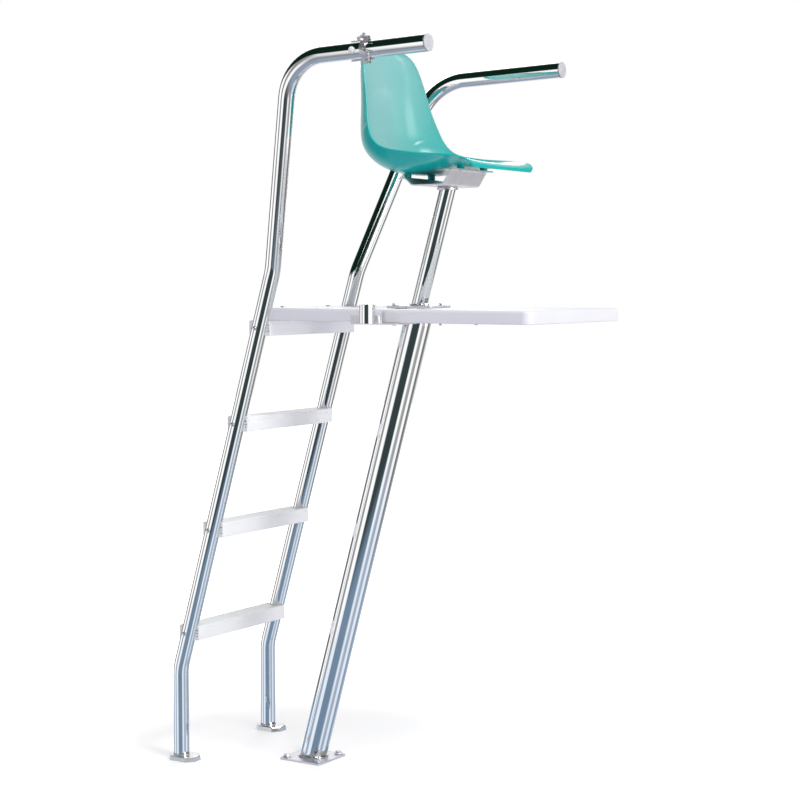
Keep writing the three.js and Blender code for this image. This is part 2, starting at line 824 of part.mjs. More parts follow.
function basePlate() {
  const half = plateSide / 2;
  const shape = roundedRectangle(half, -half, half, plateCorner);
  let body = flatPlate(shape, 0, plateThickness);
  for (const place of anchorPlaces()) {
    const low = place.clone().addScaledVector(down, plateThickness * 2);
    const high = place.clone().addScaledVector(up, plateThickness);
    body = body.subtract(rod(low, high, plateBoltHole / 2, smallSides));
  }
  return body;
}

// The four anchor bolts stand on the base plate's corners.
function anchorPlaces() {
  const reach = plateSide / 2 - plateBoltInset;
  return [-reach, reach].flatMap((forward) =>
    Object.values(sides).map((side) => point(side * reach, forward, plateThickness + touchGap)),
  );
}

// The hub on the seat post: a disc with an upright spindle.
function swivelHub() {
  const profile = [
    [0, 0],
    [hubRadius, 0],
    [hubRadius, hubThickness],
    [spindleRadius, hubThickness],
    [spindleRadius, bracketTop + spindleStand - hubBottom],
    [0, bracketTop + spindleStand - hubBottom],
  ];
  return turned(profile, point(0, swivelForward, hubBottom), up, tubeSides);
}

// A ring about the swivel axis.
function swivelRing(bottom, height, radius, ringSides) {
  const low = point(0, swivelForward, bottom);
  const high = point(0, swivelForward, bottom + height);
  const boreLow = low.clone().addScaledVector(down, height);
  const boreHigh = high.clone().addScaledVector(up, height);
  const bore = rod(boreLow, boreHigh, spindleRadius + touchGap, tubeSides);
  return rod(low, high, radius, ringSides).subtract(bore);
}

// The four seat bolts come up through the bracket's flanges into bosses under the shell.
function seatBoltPlaces() {
  const rear = { forward: backBoltForward, height: bracketBackHeight };
  const front = { forward: frontBoltForward, height: bracketFrontHeight };
  return [rear, front].flatMap(({ forward, height }) =>
    Object.values(sides).map((side) => point(side * seatBoltSide, forward, height)),
  );
}

// The seat bracket: one bent sheet with a flat middle and two flanges under the shell.
function seatBracket() {
  const middle = bracketBottom + bracketSheet / 2;
  const line = [
    new THREE.Vector2(backFlangeForward - bracketFlangeWidth, bracketBackHeight),
    new THREE.Vector2(backFlangeForward, bracketBackHeight),
    new THREE.Vector2(swivelForward - bracketBottomBehind, middle),
    new THREE.Vector2(swivelForward + bracketBottomAhead, middle),
    new THREE.Vector2(frontFlangeForward, bracketFrontHeight),
    new THREE.Vector2(frontFlangeForward + bracketFlangeWidth, bracketFrontHeight),
  ];
  let body = alongAcross(bentSheet(line, bracketSheet), bracketLength);
  const low = point(0, swivelForward, bracketBottom - bracketSheet);
  const high = point(0, swivelForward, bracketTop + bracketSheet);
  body = body.subtract(rod(low, high, spindleRadius + touchGap, tubeSides));
  for (const place of seatBoltPlaces()) {
    const below = place.clone().addScaledVector(down, bracketSheet * 2);
    const above = place.clone().addScaledVector(up, bracketSheet * 2);
    body = body.subtract(rod(below, above, seatBolt.shank + boltPlay, smallSides));
  }
  return body;
}

// A point in the middle of the shell's sheet: share runs from lip to top, along runs from rim to rim.
function shellMiddle(share, along) {
  const line = shellLine.getPoint(share);
  const rims = shellRims.getPoint(share);
  const lift = rims.x * Math.pow(Math.abs(along), shellBowl);
  return point(along * line.z, line.x + Math.sin(rims.y) * lift, line.y + Math.cos(rims.y) * lift);
}

// The direction square to the sheet, towards the sitter, and the direction from lip to top.
function shellDirections(share, along) {
  const step = shellSlopeStep;
  const ahead = shellMiddle(Math.max(0, share - step), along);
  const onto = shellMiddle(Math.min(1, share + step), along).sub(ahead);
  const inner = shellMiddle(share, Math.max(-1, along - step));
  const out = shellMiddle(share, Math.min(1, along + step)).sub(inner);
  return { square: onto.clone().cross(out).normalize().negate(), onto: onto.normalize() };
}

// One closed section of the shell: along its underside, then back along its upper side.
function shellSection(share, thicknessShare, shift) {
  const ring = [];
  for (const sign of [1, -1])
    for (let i = 0; i < shellColumns; i++) {
      const along = Math.sin((1 - (i / shellColumns) * 2) * (Math.PI / 2)) * sign;
      const roll = THREE.MathUtils.smoothstep(Math.abs(along), shellRimShare, 1);
      const full = shellThickness + (shellRimThickness - shellThickness) * roll;
      const half = i === 0 ? 0 : (full * thicknessShare) / 2;
      const { square, onto } = shellDirections(share, along);
      const middle = shellMiddle(share, along).addScaledVector(onto, shift);
      ring.push(middle.addScaledVector(square, -sign * half));
    }
  return ring;
}

// The moulded seat shell: one sheet, dished into the pan, turned up into the back, thicker at its rims.
function seatShell() {
  const rows = [];
  rows.push(shellSection(0, 0, -shellLipRound));
  rows.push(shellSection(0, shellLipShare, -shellLipRound / 2));
  for (let i = 0; i <= shellRows; i++) rows.push(shellSection(i / shellRows, 1, 0));
  rows.push(shellSection(1, shellLipShare, shellLipRound / 2));
  rows.push(shellSection(1, 0, shellLipRound));
  let body = between(rows, false);
  for (const place of seatBoltPlaces()) {
    const low = place.clone().addScaledVector(up, bracketSheet / 2 + touchGap);
    const high = new THREE.Vector3(low.x, low.y, shellHeightAt(-place.y) + touchGap);
    const boreLow = low.clone().addScaledVector(down, bracketSheet);
    const boreHigh = low.clone().addScaledVector(up, seatBolt.length - bracketSheet);
    const bore = rod(boreLow, boreHigh, seatBolt.shank + boltPlay, smallSides);
    body = body.add(rod(low, high, bossRadius, smallSides * 2)).subtract(bore);
  }
  return body;
}

// The lower umbrella sleeve: a short tube with a floor.
function umbrellaSleeve() {
  const radius = sleeveOuter / 2;
  const bore = sleeveBore / 2;
  const profile = [
    [0, 0],
    [radius, 0],
    [radius, sleeveHeight],
    [bore, sleeveHeight],
    [bore, sleeveFloor],
    [0, sleeveFloor],
  ];
  return turned(profile, point(-poleSide, poleForward, boardTop - sleeveBelowBoards), up, tubeSides);
}

// The sleeve's bracket: a strap under the footboard with its lip bent up beside the sleeve.
function sleeveBracket() {
  const lipOuter = poleSide - sleeveOuter / 2 - touchGap;
  const lipInner = lipOuter - strapSheet;
  const corner = point(-lipOuter, poleForward - strapBehindPole, strapBottom);
  const front = poleForward + strapAheadOfPole;
  const lipFront = poleForward + strapLipAheadOfPole;
  const flat = block(corner, point(strapReach - footHalf, front, underPlateTop));
  const lip = block(corner, point(-lipInner, lipFront, boardTop - strapTopBelowBoards));
  let body = flat.add(lip);
  for (const place of underScrewPlaces()) body = body.subtract(blindHole(place));
  return body;
}

// Places a solid made about the origin on the right arm, tipped with the arm's rise.
function onArm(body, forward) {
  const place = armAt(sides.right, forward);
  const tip = THREE.MathUtils.radToDeg(Math.atan(armRise));
  return body.rotate([-tip, 0, 0]).translate(place.x, place.y, place.z);
}

// A ring about the arm's axis, from back to front.
function armRing(back, front, radius) {
  return rod(point(0, back, 0), point(0, front, 0), radius, tubeSides);
}

// The clamp ears, above and below the arm, on one side of the split.
function clampEars(side, back, front) {
  const near = side * clampSplit;
  const far = side * (clampSplit + clampEarThickness);
  const reach = railRadius + clampWall / 2;
  const top = clampBoltHeight + clampEarHeight / 2;
  const upper = block(point(near, back, reach), point(far, front, top));
  const lower = block(point(near, back, -top), point(far, front, -reach));
  return upper.add(lower);
}

// Cutters for the two clamp screws.
function clampHoles() {
  const reach = new THREE.Vector3(railOuter, 0, 0);
  const hole = (height) => {
    const middle = new THREE.Vector3(0, 0, height);
    return rod(middle.clone().sub(reach), middle.clone().add(reach), clampBolt.shank + boltPlay, smallSides);
  };
  return hole(clampBoltHeight).add(hole(-clampBoltHeight));
}

// The clamp's inner half, with the ring that holds the umbrella pole.
function clampSaddle() {
  const back = -clampBehindPole - bandAheadOfPole;
  const front = clampAheadOfPole - bandAheadOfPole;
  const outer = railRadius + clampWall + touchGap;
  const split = block(point(clampSplit, back, -outer), point(outer, front, outer));
  const earHalf = clampBandWidth / 2;
  const half = armRing(back, front, outer).intersect(split);
  const shaped = half.add(clampEars(1, -earHalf, earHalf)).subtract(clampHoles());
  const poleZ = armAt(sides.right, poleForward).z;
  const low = point(-poleSide, poleForward, poleZ - clampPoleHalf);
  const high = point(-poleSide, poleForward, poleZ + clampPoleHalf);
  const near = new THREE.Vector3(-armHalf, low.y - clampBridge, poleZ - clampBridge);
  const bridge = block(near, new THREE.Vector3(-poleSide, low.y + clampBridge, poleZ + clampBridge));
  const collar = rod(low, high, sleeveBore / 2 + clampPoleWall, tubeSides).add(bridge);
  const boreLow = low.clone().addScaledVector(down, clampPoleHalf);
  const boreHigh = high.clone().addScaledVector(up, clampPoleHalf);
  const bore = rod(boreLow, boreHigh, sleeveBore / 2, tubeSides);
  const arm = onArm(armRing(-railOuter * 2, railOuter * 2, railRadius + touchGap), bandForward);
  const screwSeat = armAt(sides.right, poleForward);
  const screwEnd = screwSeat.clone().add(new THREE.Vector3(outer - clampWall / 2 + boltPlay, 0, 0));
  const screwHole = rod(screwSeat, screwEnd, capScrew.shank + boltPlay, smallSides);
  return onArm(shaped, bandForward).add(collar).subtract(bore).subtract(arm).subtract(screwHole);
}

// The clamp's outer half: a narrow band with a hooked rod on its face.
function clampBand() {
  const outer = railRadius + clampWall + touchGap;
  const half = clampBandWidth / 2;
  const split = block(point(-outer, -half, -outer), point(-clampSplit, half, outer));
  const ring = armRing(-half, half, outer).intersect(split);
  const path = new BentPath(
    [
      point(-outer + clampWall / 2, 0, 0),
      point(-outer - hookOut, 0, -hookRod),
      point(-outer - hookOut, hookForward, -hookDrop / 2),
      point(-outer - hookOut, hookForward, -hookDrop - hookOut),
    ],
    [hookRod, hookOut],
    [bendSteps, bendSteps],
  );
  const hook = bentTube(path, hookRod, 0, smallSides);
  const arm = armRing(-railOuter, railOuter, railRadius + touchGap);
  const shaped = ring.add(clampEars(-1, -half, half)).subtract(clampHoles()).add(hook).subtract(arm);
  return onArm(shaped, bandForward);
}

// The wing screw through the upper ears.
function wingScrew() {
  const outward = new THREE.Vector3(-1, 0, 0);
  const seat = new THREE.Vector3(-(clampSplit + clampEarThickness + touchGap), 0, clampBoltHeight);
  const head = seat.clone().addScaledVector(outward, wingNeck);
  const tip = seat.clone().addScaledVector(outward, -(clampEarThickness + clampSplit) * 2 - boltPlay * 2);
  const back = head.clone().addScaledVector(outward, wingThickness);
  let body = rod(tip, back, clampBolt.shank, smallSides).add(rod(seat, back, wingHub, smallSides));
  for (const sign of Object.values(sides)) {
    const wing = new THREE.Vector3(0, Math.cos(wingTurn), Math.sin(wingTurn));
    const reach = wing.multiplyScalar(sign * wingReach);
    body = body.add(rod(head.clone().add(reach), back.clone().add(reach), wingRadius, smallSides * 2));
    body = body.add(flatWeb(head, back, reach));
  }
  return onArm(body, bandForward);
}

// The flat web between the wing screw's hub and one wing.
function flatWeb(front, back, reach) {
  const middle = front.clone().add(back).add(reach).divideScalar(2);
  const box = new THREE.BoxGeometry(wingThickness, reach.length(), clampBolt.shank * 2);
  const turn = new THREE.Matrix4().makeBasis(
    new THREE.Vector3(1, 0, 0),
    reach.clone().normalize(),
    new THREE.Vector3(1, 0, 0).cross(reach).normalize(),
  );
  return solid(box.applyMatrix4(turn).translate(middle.x, middle.y, middle.z));
}

// The hexagon bolt through the lower ears.
function clampLowerBolt() {
  const outward = new THREE.Vector3(-1, 0, 0);
  const seat = new THREE.Vector3(-(clampSplit + clampEarThickness + touchGap), 0, -clampBoltHeight);
  const length = (clampSplit + clampEarThickness) * 2 + boltPlay * 2;
  return onArm(hexBolt(seat, outward, clampBolt, length), bandForward);
}

// The white capped screw that pins the clamp through the arm.
function clampCapScrew() {
  const outward = new THREE.Vector3(-1, 0, 0);
  const centre = armAt(sides.right, poleForward);
  const seat = centre.clone().addScaledVector(outward, railRadius + touchGap);
  return domedBolt(seat, outward, capScrew, railOuter + touchGap * 2 + clampWall / 2);
}

// A nut under each tie bolt.
function tieNutAt(place) {
  const top = new THREE.Vector3(place.x, place.y, underPlateBottom - touchGap);
  const low = top.clone().addScaledVector(down, tieNut.height);
  const boreLow = low.clone().addScaledVector(down, tieNut.height);
  const boreHigh = top.clone().addScaledVector(up, tieNut.height);
  const bore = rod(boreLow, boreHigh, tieBolt.shank + touchGap, smallSides);
  return rod(low, top, tieNut.width, hexSides).subtract(bore);
}

const allTieBoltPlaces = tieBoltPlaces(tieBoltBack, tieBoltFront);
const tieBoltLength = topPlateTop - underPlateBottom + tieNut.height + touchGap * 2;

const postFoot = plateThickness + touchGap;
const postEnd = topPlateBottom - touchGap;
const seatPostBottom = topPlateTop + touchGap;
piece("base_plate", basePlate(), brushed);
anchorPlaces().forEach((place, i) => {
  piece(`anchor_bolt_${i + 1}`, hexBolt(place, up, anchorBolt, plateThickness), brushed);
});
piece("post", leaningTube(postForward, postFoot, postEnd, postRadius, postWall, postLean), polished);
piece("under_plate", underPlate(), brushed);
piece("top_plate", topPlate(), brushed);
piece(
  "seat_post",
  leaningTube(seatPostForward, seatPostBottom, seatPostTop, seatPostRadius, seatPostWall, seatPostLean),
  polished,
);
for (const [name, side] of Object.entries(sides)) {
  piece(`side_rail_${name}`, sideRail(side), polished);
  piece(`arm_cap_${name}`, armCap(side), greyPlastic);
  piece(`foot_cover_${name}`, footCover(side), polished);
}
treadLevels.forEach((top, i) => {
  piece(`tread_${i + 1}`, tread(top), whitePlastic);
  for (const [name, side] of Object.entries(sides)) {
    const { seat, outward } = treadBoltLine(side, top);
    piece(`tread_${i + 1}_bolt_${name}`, domedBolt(seat, outward, treadBolt, treadBolt.length), brushed);
  }
});
piece("step_board", stepBoard(), whitePlastic);
for (const [name, side] of Object.entries(sides)) {
  const screw = domedBolt(stepScrewPlace(side), up, boardScrew, boardScrew.length);
  piece(`step_board_screw_${name}`, screw, brushed);
}
piece("footboard", footBoard(), whitePlastic);
allTieBoltPlaces.forEach((place, i) => {
  piece(`tie_bolt_${i + 1}`, hexBolt(place, up, tieBolt, tieBoltLength), brushed);
  piece(`tie_nut_${i + 1}`, tieNutAt(place), brushed);
});
underScrewPlaces().forEach((place, i) => {
  piece(`under_screw_${i + 1}`, domedBolt(place, down, strapScrew, strapScrew.length), brushed);
});
piece("umbrella_sleeve", umbrellaSleeve(), polished);
piece("sleeve_bracket", sleeveBracket(), brushed);
piece("clamp_saddle", clampSaddle(), brushed);
piece("clamp_band", clampBand(), brushed);
piece("clamp_wing_screw", wingScrew(), brushed);
piece("clamp_lower_bolt", clampLowerBolt(), brushed);
piece("clamp_cap_screw", clampCapScrew(), whitePlastic);
piece("swivel_hub", swivelHub(), brushed);
piece("swivel_washer", swivelRing(washerBottom, washerThickness, washerRadius, tubeSides), greyPlastic);
piece("seat_bracket", seatBracket(), polished);
const nutCorner = swivelNutWidth / Math.sqrt(3);
piece("swivel_nut", swivelRing(bracketTop + touchGap, swivelNutHeight, nutCorner, hexSides), brushed);
piece("seat_shell", seatShell(), tealPlastic);
seatBoltPlaces().forEach((place, i) => {
  const seat = place.clone().addScaledVector(down, bracketSheet / 2 + touchGap);
  piece(`seat_bolt_${i + 1}`, domedBolt(seat, down, seatBolt, seatBolt.length), brushed);
});

export default chair;
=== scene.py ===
import math
import bmesh
import bpy
from mathutils import Matrix, Vector


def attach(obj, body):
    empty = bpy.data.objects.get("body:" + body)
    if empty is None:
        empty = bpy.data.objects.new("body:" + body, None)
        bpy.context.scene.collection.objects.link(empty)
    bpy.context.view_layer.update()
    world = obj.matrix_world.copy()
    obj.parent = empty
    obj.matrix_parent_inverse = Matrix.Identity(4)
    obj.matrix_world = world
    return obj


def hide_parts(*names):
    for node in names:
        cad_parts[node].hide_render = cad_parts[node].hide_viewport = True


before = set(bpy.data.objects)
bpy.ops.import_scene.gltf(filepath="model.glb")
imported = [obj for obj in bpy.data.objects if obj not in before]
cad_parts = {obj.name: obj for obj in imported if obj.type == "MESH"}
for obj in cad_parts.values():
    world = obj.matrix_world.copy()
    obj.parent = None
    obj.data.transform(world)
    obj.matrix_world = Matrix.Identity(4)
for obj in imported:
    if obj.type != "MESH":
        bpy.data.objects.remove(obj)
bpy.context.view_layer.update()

# The view: a long lens a few metres off the chair's right front corner, a little above the boards.
camera_place = (-4.6783, -3.2763, 1.5068)
camera_turn = (math.radians(86.196), 0.0, math.radians(-57.75))
camera_lens = 82.78
camera_sensor = 36.0
camera_sight = 100.0
camera_data = bpy.data.cameras.new("camera")
camera_data.lens = camera_lens
camera_data.sensor_width = camera_sensor
camera_data.clip_end = camera_sight
camera = bpy.data.objects.new("camera", camera_data)
camera.location = camera_place
camera.rotation_euler = camera_turn
bpy.context.scene.collection.objects.link(camera)
bpy.context.scene.camera = camera
bpy.context.scene.view_settings.view_transform = "Standard"

# The studio floor: the camera sees it white, with the chair's soft shadow on it, lifted a little near
# the chair and fully past the shadow. It is grey to light that bounces off it, and the tubes mirror
# it as a pale blue sheet that fades out a few steps away.
floor_half = 14.0
floor_bounce = (0.76, 0.76, 0.85, 1.0)
floor_seen = (0.98, 0.98, 0.955, 1.0)
floor_lift = 0.27
shadow_reach = (0.5, 1.5)
floor_mirrored = (0.45, 0.66, 0.95, 1.0)
mirrored_share = 0.38
mirrored_reach = (1.1, 2.5)


def deselect():
    if bpy.context.object and bpy.context.object.mode != "OBJECT":
        bpy.ops.object.mode_set(mode="OBJECT")
    bpy.ops.object.select_all(action="DESELECT")


def node_material(name):
    made = bpy.data.materials.new(name)
    made.use_nodes = True
    made.node_tree.nodes.clear()
    return made, made.node_tree.nodes, made.node_tree.links


def set_or_link(socket, value):
    if hasattr(value, "is_output"):
        links.new(value, socket)
    else:
        socket.default_value = value


def math_node(operation, *values):
    made = nodes.new("ShaderNodeMath")
    made.operation = operation
    for socket, value in zip(made.inputs, values):
        set_or_link(socket, value)
    return made.outputs["Value"]


def blend_colours(share, first, second):
    made = nodes.new("ShaderNodeMix")
    made.data_type = "RGBA"
    for socket, value in (("Factor", share), ("A", first), ("B", second)):
        set_or_link(made.inputs[socket], value)
    return made.outputs["Result"]


def mix_shaders(share, first, second):
    made = nodes.new("ShaderNodeMixShader")
    for socket, value in zip(made.inputs, (share, first, second)):
        links.new(value, socket)
    return made.outputs["Shader"]


def change_over(value, reach, near=0.0, far=1.0, kind="SMOOTHSTEP"):
    """Turns a value's run through its reach into a change from near to far."""
    made = nodes.new("ShaderNodeMapRange")
    made.interpolation_type = kind
    links.new(value, made.inputs["Value"])
    made.inputs["From Min"].default_value, made.inputs["From Max"].default_value = reach
    made.inputs["To Min"].default_value = near
    made.inputs["To Max"].default_value = far
    return made.outputs["Result"]


deselect()
bpy.ops.mesh.primitive_plane_add(size=floor_half * 2)
floor = bpy.context.object
floor.name = "floor"
paint, nodes, links = node_material("studio_floor")
path = nodes.new("ShaderNodeLightPath")
place = nodes.new("ShaderNodeTexCoord")
away = nodes.new("ShaderNodeVectorMath")
away.operation = "LENGTH"
links.new(place.outputs["Object"], away.inputs[0])
diffuse = nodes.new("ShaderNodeBsdfDiffuse")
links.new(blend_colours(path.outputs["Is Camera Ray"], floor_bounce, floor_seen), diffuse.inputs["Color"])
lift = change_over(away.outputs["Value"], shadow_reach, floor_lift, 1.0)
glow = nodes.new("ShaderNodeEmission")
links.new(math_node("MULTIPLY", lift, path.outputs["Is Camera Ray"]), glow.inputs["Strength"])
lit = nodes.new("ShaderNodeAddShader")
links.new(diffuse.outputs["BSDF"], lit.inputs[0])
links.new(glow.outputs["Emission"], lit.inputs[1])
sheet = nodes.new("ShaderNodeEmission")
sheet.inputs["Color"].default_value = floor_mirrored
clear = nodes.new("ShaderNodeBsdfTransparent")
fading = change_over(away.outputs["Value"], mirrored_reach, mirrored_share, 0.0)
mirrored = mix_shaders(fading, clear.outputs["BSDF"], sheet.outputs["Emission"])
shown = mix_shaders(path.outputs["Is Glossy Ray"], lit.outputs["Shader"], mirrored)
output = nodes.new("ShaderNodeOutputMaterial")
links.new(shown, output.inputs["Surface"])
floor.data.materials.append(paint)

# The room round the studio, which the polished tubes mirror: a ring of bright boards with dark gaps
# between them, a dark ceiling, a white backdrop on the far side and grey ground. All that isn't a
# mirror gets plain light, a little less of it from above, and the camera sees white.
ring_turn = math.radians(147.75)
ring_lights = [
    (-180, 1.0), (-150, 0.9), (-138, 0.10), (-124, 0.10), (-110, 1.25), (-90, 1.25),
    (-83, 0.32), (-71, 0.32), (-63, 1.25), (-44, 1.15), (-35, 0.035), (16, 0.035),
    (25, 1.25), (37, 1.15), (47, 0.42), (68, 0.34), (78, 1.2), (98, 1.1),
    (108, 0.14), (122, 0.2), (146, 0.6), (180, 1.0),
]
dark_below = 0.05
dark_tint = (1.15, 1.7, 1.8)
ceiling_tone = (0.004, 0.018, 0.010, 1.0)
ceiling_heights = (0.06, 0.22)
backdrop_reach = (0.45, 0.80)
plain_light = (0.71, 0.71, 0.80, 1.0)
plain_above = (0.51, 0.51, 0.54, 1.0)
ground_tone = (0.24, 0.24, 0.26, 1.0)
ground_depths = (0.55, 0.85)
background_seen = (1.0, 1.0, 1.0, 1.0)

world = bpy.data.worlds.new("studio_room")
bpy.context.scene.world = world
world.use_nodes = True
nodes = world.node_tree.nodes
links = world.node_tree.links
nodes.clear()
place = nodes.new("ShaderNodeTexCoord")
turn = nodes.new("ShaderNodeMapping")
turn.inputs["Rotation"].default_value = (0.0, 0.0, ring_turn)
links.new(place.outputs["Generated"], turn.inputs["Vector"])
split = nodes.new("ShaderNodeSeparateXYZ")
links.new(turn.outputs["Vector"], split.inputs["Vector"])
angle = math_node("ARCTAN2", split.outputs["Y"], split.outputs["X"])
along = math_node("ADD", math_node("DIVIDE", angle, math.tau), 0.5)
ring = nodes.new("ShaderNodeValToRGB")
links.new(along, ring.inputs["Fac"])
stops = ring.color_ramp.elements
while len(stops) < len(ring_lights):
    stops.new(0.5)
for stop, (degrees, bright) in zip(stops, ring_lights):
    stop.position = degrees / 360 + 0.5
    tint = dark_tint if bright < dark_below else (1.0, 1.0, 1.0)
    stop.color = (*(bright * share for share in tint), 1.0)
rising = change_over(split.outputs["Z"], ceiling_heights)
behind = change_over(math_node("MULTIPLY", split.outputs["X"], -1.0), backdrop_reach)
roofed = math_node("MULTIPLY", rising, math_node("SUBTRACT", 1.0, behind))
room = blend_colours(roofed, ring.outputs["Color"], ceiling_tone)
sinking = change_over(math_node("MULTIPLY", split.outputs["Z"], -1.0), ground_depths)
room = blend_colours(sinking, room, ground_tone)
path = nodes.new("ShaderNodeLightPath")
plain = blend_colours(rising, plain_light, plain_above)
seen = blend_colours(path.outputs["Is Glossy Ray"], plain, room)
seen = blend_colours(path.outputs["Is Camera Ray"], seen, background_seen)
background = nodes.new("ShaderNodeBackground")
links.new(seen, background.inputs["Color"])
output = nodes.new("ShaderNodeOutputWorld")
links.new(background.outputs["Background"], output.inputs["Surface"])

# Four soft lamps: a weak one high on the camera's left, a large one low in front of the footboard, one
# high behind, and one high in front that draws the highlights in the shell's hollows. Each row holds a
# lamp's name, its place, where it points, its side, its watts and its colour.
lamps = [
    ("main_lamp", (-3.6, -0.7, 3.6), (0.0, -0.3, 1.2), 1.4, 10, (1.0, 1.0, 1.0)),
    ("fill_lamp", (-1.0, -8.0, 1.5), (0.0, -0.3, 1.2), 3.0, 195, (1.0, 1.0, 0.93)),
    ("rear_lamp", (3.2, 1.8, 3.4), (0.0, -0.3, 1.6), 1.8, 34, (1.0, 1.0, 1.0)),
    ("top_lamp", (-1.3, -2.9, 4.8), (0.0, -0.4, 1.9), 1.05, 66, (1.0, 1.0, 1.0)),
]
for name, place, towards, side, watts, colour in lamps:
    light = bpy.data.lights.new(name, "AREA")
    light.shape = "RECTANGLE"
    light.size = side
    light.size_y = side
    light.energy = watts
    light.color = colour
    lamp = bpy.data.objects.new(name, light)
    lamp.location = place
    lamp.rotation_euler = (Vector(towards) - Vector(place)).to_track_quat("-Z", "Y").to_euler()
    bpy.context.scene.collection.objects.link(lamp)

# Base plate: a 6 inch square of quarter inch stainless plate, satin, laid flat on the deck.
# Cut with round corners, its edges eased and a hole drilled near each corner.
plate_half = 0.0762
plate_thick = 0.00635
plate_corner = 0.010
plate_ease = 0.0006
anchor_reach = 0.0582
anchor_hole = 0.007
anchor_places = [(across * anchor_reach, back * anchor_reach) for back in (1, -1) for across in (-1, 1)]
overrun = 0.03
noise_spread = (0.3, 0.7)


def choose(piece):
    deselect()
    piece.select_set(True)
    bpy.context.view_layer.objects.active = piece


def settle(made):
    """Puts a piece's place, turn and scale into its mesh."""
    choose(made)
    bpy.ops.object.transform_apply(location=True, rotation=True, scale=True)


def edit_mode(select="FACE"):
    bpy.ops.object.mode_set(mode="EDIT")
    bpy.ops.mesh.select_mode(type=select)


def object_mode():
    bpy.ops.object.mode_set(mode="OBJECT")


def select_where(test, kind="faces"):
    """Selects the faces, edges or vertices whose place passes the test, in edit mode."""
    mesh = bmesh.from_edit_mesh(bpy.context.object.data)
    for item in mesh.verts[:] + mesh.edges[:] + mesh.faces[:]:
        item.select_set(False)
    if kind == "faces":
        chosen = [f for f in mesh.faces if test(f.calc_center_median(), f.normal)]
    elif kind == "edges":
        chosen = [e for e in mesh.edges if test(e.verts[0].co, e.verts[1].co)]
    else:
        chosen = [v for v in mesh.verts if test(v.co)]
    for item in chosen:
        item.select_set(True)
    mesh.select_flush_mode()
    bmesh.update_edit_mesh(bpy.context.object.data)


def apply_modifier(piece, kind, **settings):
    choose(piece)
    change = piece.modifiers.new(kind.lower(), kind)
    for setting, value in settings.items():
        setattr(change, setting, value)
    bpy.ops.object.modifier_apply(modifier=change.name)


def box_between(low, high):
    deselect()
    low, high = Vector(low), Vector(high)
    bpy.ops.mesh.primitive_cube_add(size=1.0, location=(low + high) / 2)
    made = bpy.context.object
    made.scale = high - low
    settle(made)
    return made


def flat_plate(low, high, corner, steps=6):
    """A flat piece with its upright corners rounded, or cut straight in one step."""
    made = box_between(low, high)
    edit_mode("EDGE")
    select_where(lambda a, b: abs(a.z - b.z) > (high[2] - low[2]) / 2, "edges")
    bpy.ops.mesh.bevel(offset=corner, segments=steps)
    object_mode()
    return made


def round_rod(start, end, radius, sides=32):
    """A round bar from one point to another."""
    deselect()
    start, end = Vector(start), Vector(end)
    run = end - start
    turned = run.to_track_quat("Z", "Y").to_euler()
    bpy.ops.mesh.primitive_cylinder_add(
        vertices=sides, radius=radius, depth=run.length, location=(start + end) / 2, rotation=turned
    )
    made = bpy.context.object
    settle(made)
    return made


def upright_rod(place, low, high, radius, sides=32):
    """A round bar that stands at a place on the plan, from one height to another."""
    return round_rod((place[0], place[1], low), (place[0], place[1], high), radius, sides)


def join_by(piece, operation, tools):
    for tool in tools:
        apply_modifier(piece, "BOOLEAN", operation=operation, solver="EXACT", object=tool)
        bpy.data.objects.remove(tool)


def cut(piece, *tools):
    """Cuts the tools' shapes out of a piece and deletes the tools."""
    join_by(piece, "DIFFERENCE", tools)


def weld_on(piece, *tools):
    """Joins the tools' shapes to a piece as one solid."""
    join_by(piece, "UNION", tools)


def ease_edges(piece, width, segments=2, degrees=30):
    """Rounds every sharp edge of a piece a little."""
    sharp = math.radians(degrees)
    apply_modifier(piece, "BEVEL", width=width, segments=segments, limit_method="ANGLE", angle_limit=sharp)


def finish(piece, name, material, body="frame", smooth=35):
    """Names a finished piece, smooths it, paints it and sets it on its body in place of its CAD node."""
    settle(piece)
    piece.name = name + "_finished"
    piece.data.name = piece.name
    bpy.ops.object.shade_smooth_by_angle(angle=math.radians(smooth))
    apply_modifier(piece, "WEIGHTED_NORMAL", keep_sharp=True)
    piece.data.materials.clear()
    piece.data.materials.append(material)
    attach(piece, body)
    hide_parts(name)


def noise(scale, detail, stretch=(1.0, 1.0, 1.0)):
    """A noise pattern on the piece's own coordinates, as a socket from 0 to 1."""
    place = nodes.new("ShaderNodeTexCoord")
    spread = nodes.new("ShaderNodeMapping")
    spread.inputs["Scale"].default_value = stretch
    links.new(place.outputs["Object"], spread.inputs["Vector"])
    made = nodes.new("ShaderNodeTexNoise")
    made.inputs["Scale"].default_value = scale
    made.inputs["Detail"].default_value = detail
    links.new(spread.outputs["Vector"], made.inputs["Vector"])
    return made.outputs["Fac"]


def between(pattern, low, high):
    """Turns a noise pattern's usual spread into values from low to high."""
    return change_over(pattern, noise_spread, low, high, "LINEAR")


def tones(pattern, dark, light):
    """A colour that drifts from dark to light with a pattern."""
    return blend_colours(between(pattern, 0.0, 1.0), dark, light)


def bumps(height, depth, onto=None):
    made = nodes.new("ShaderNodeBump")
    made.inputs["Strength"].default_value = 1.0
    made.inputs["Distance"].default_value = depth
    links.new(height, made.inputs["Height"])
    if onto is not None:
        links.new(onto, made.inputs["Normal"])
    return made.outputs["Normal"]


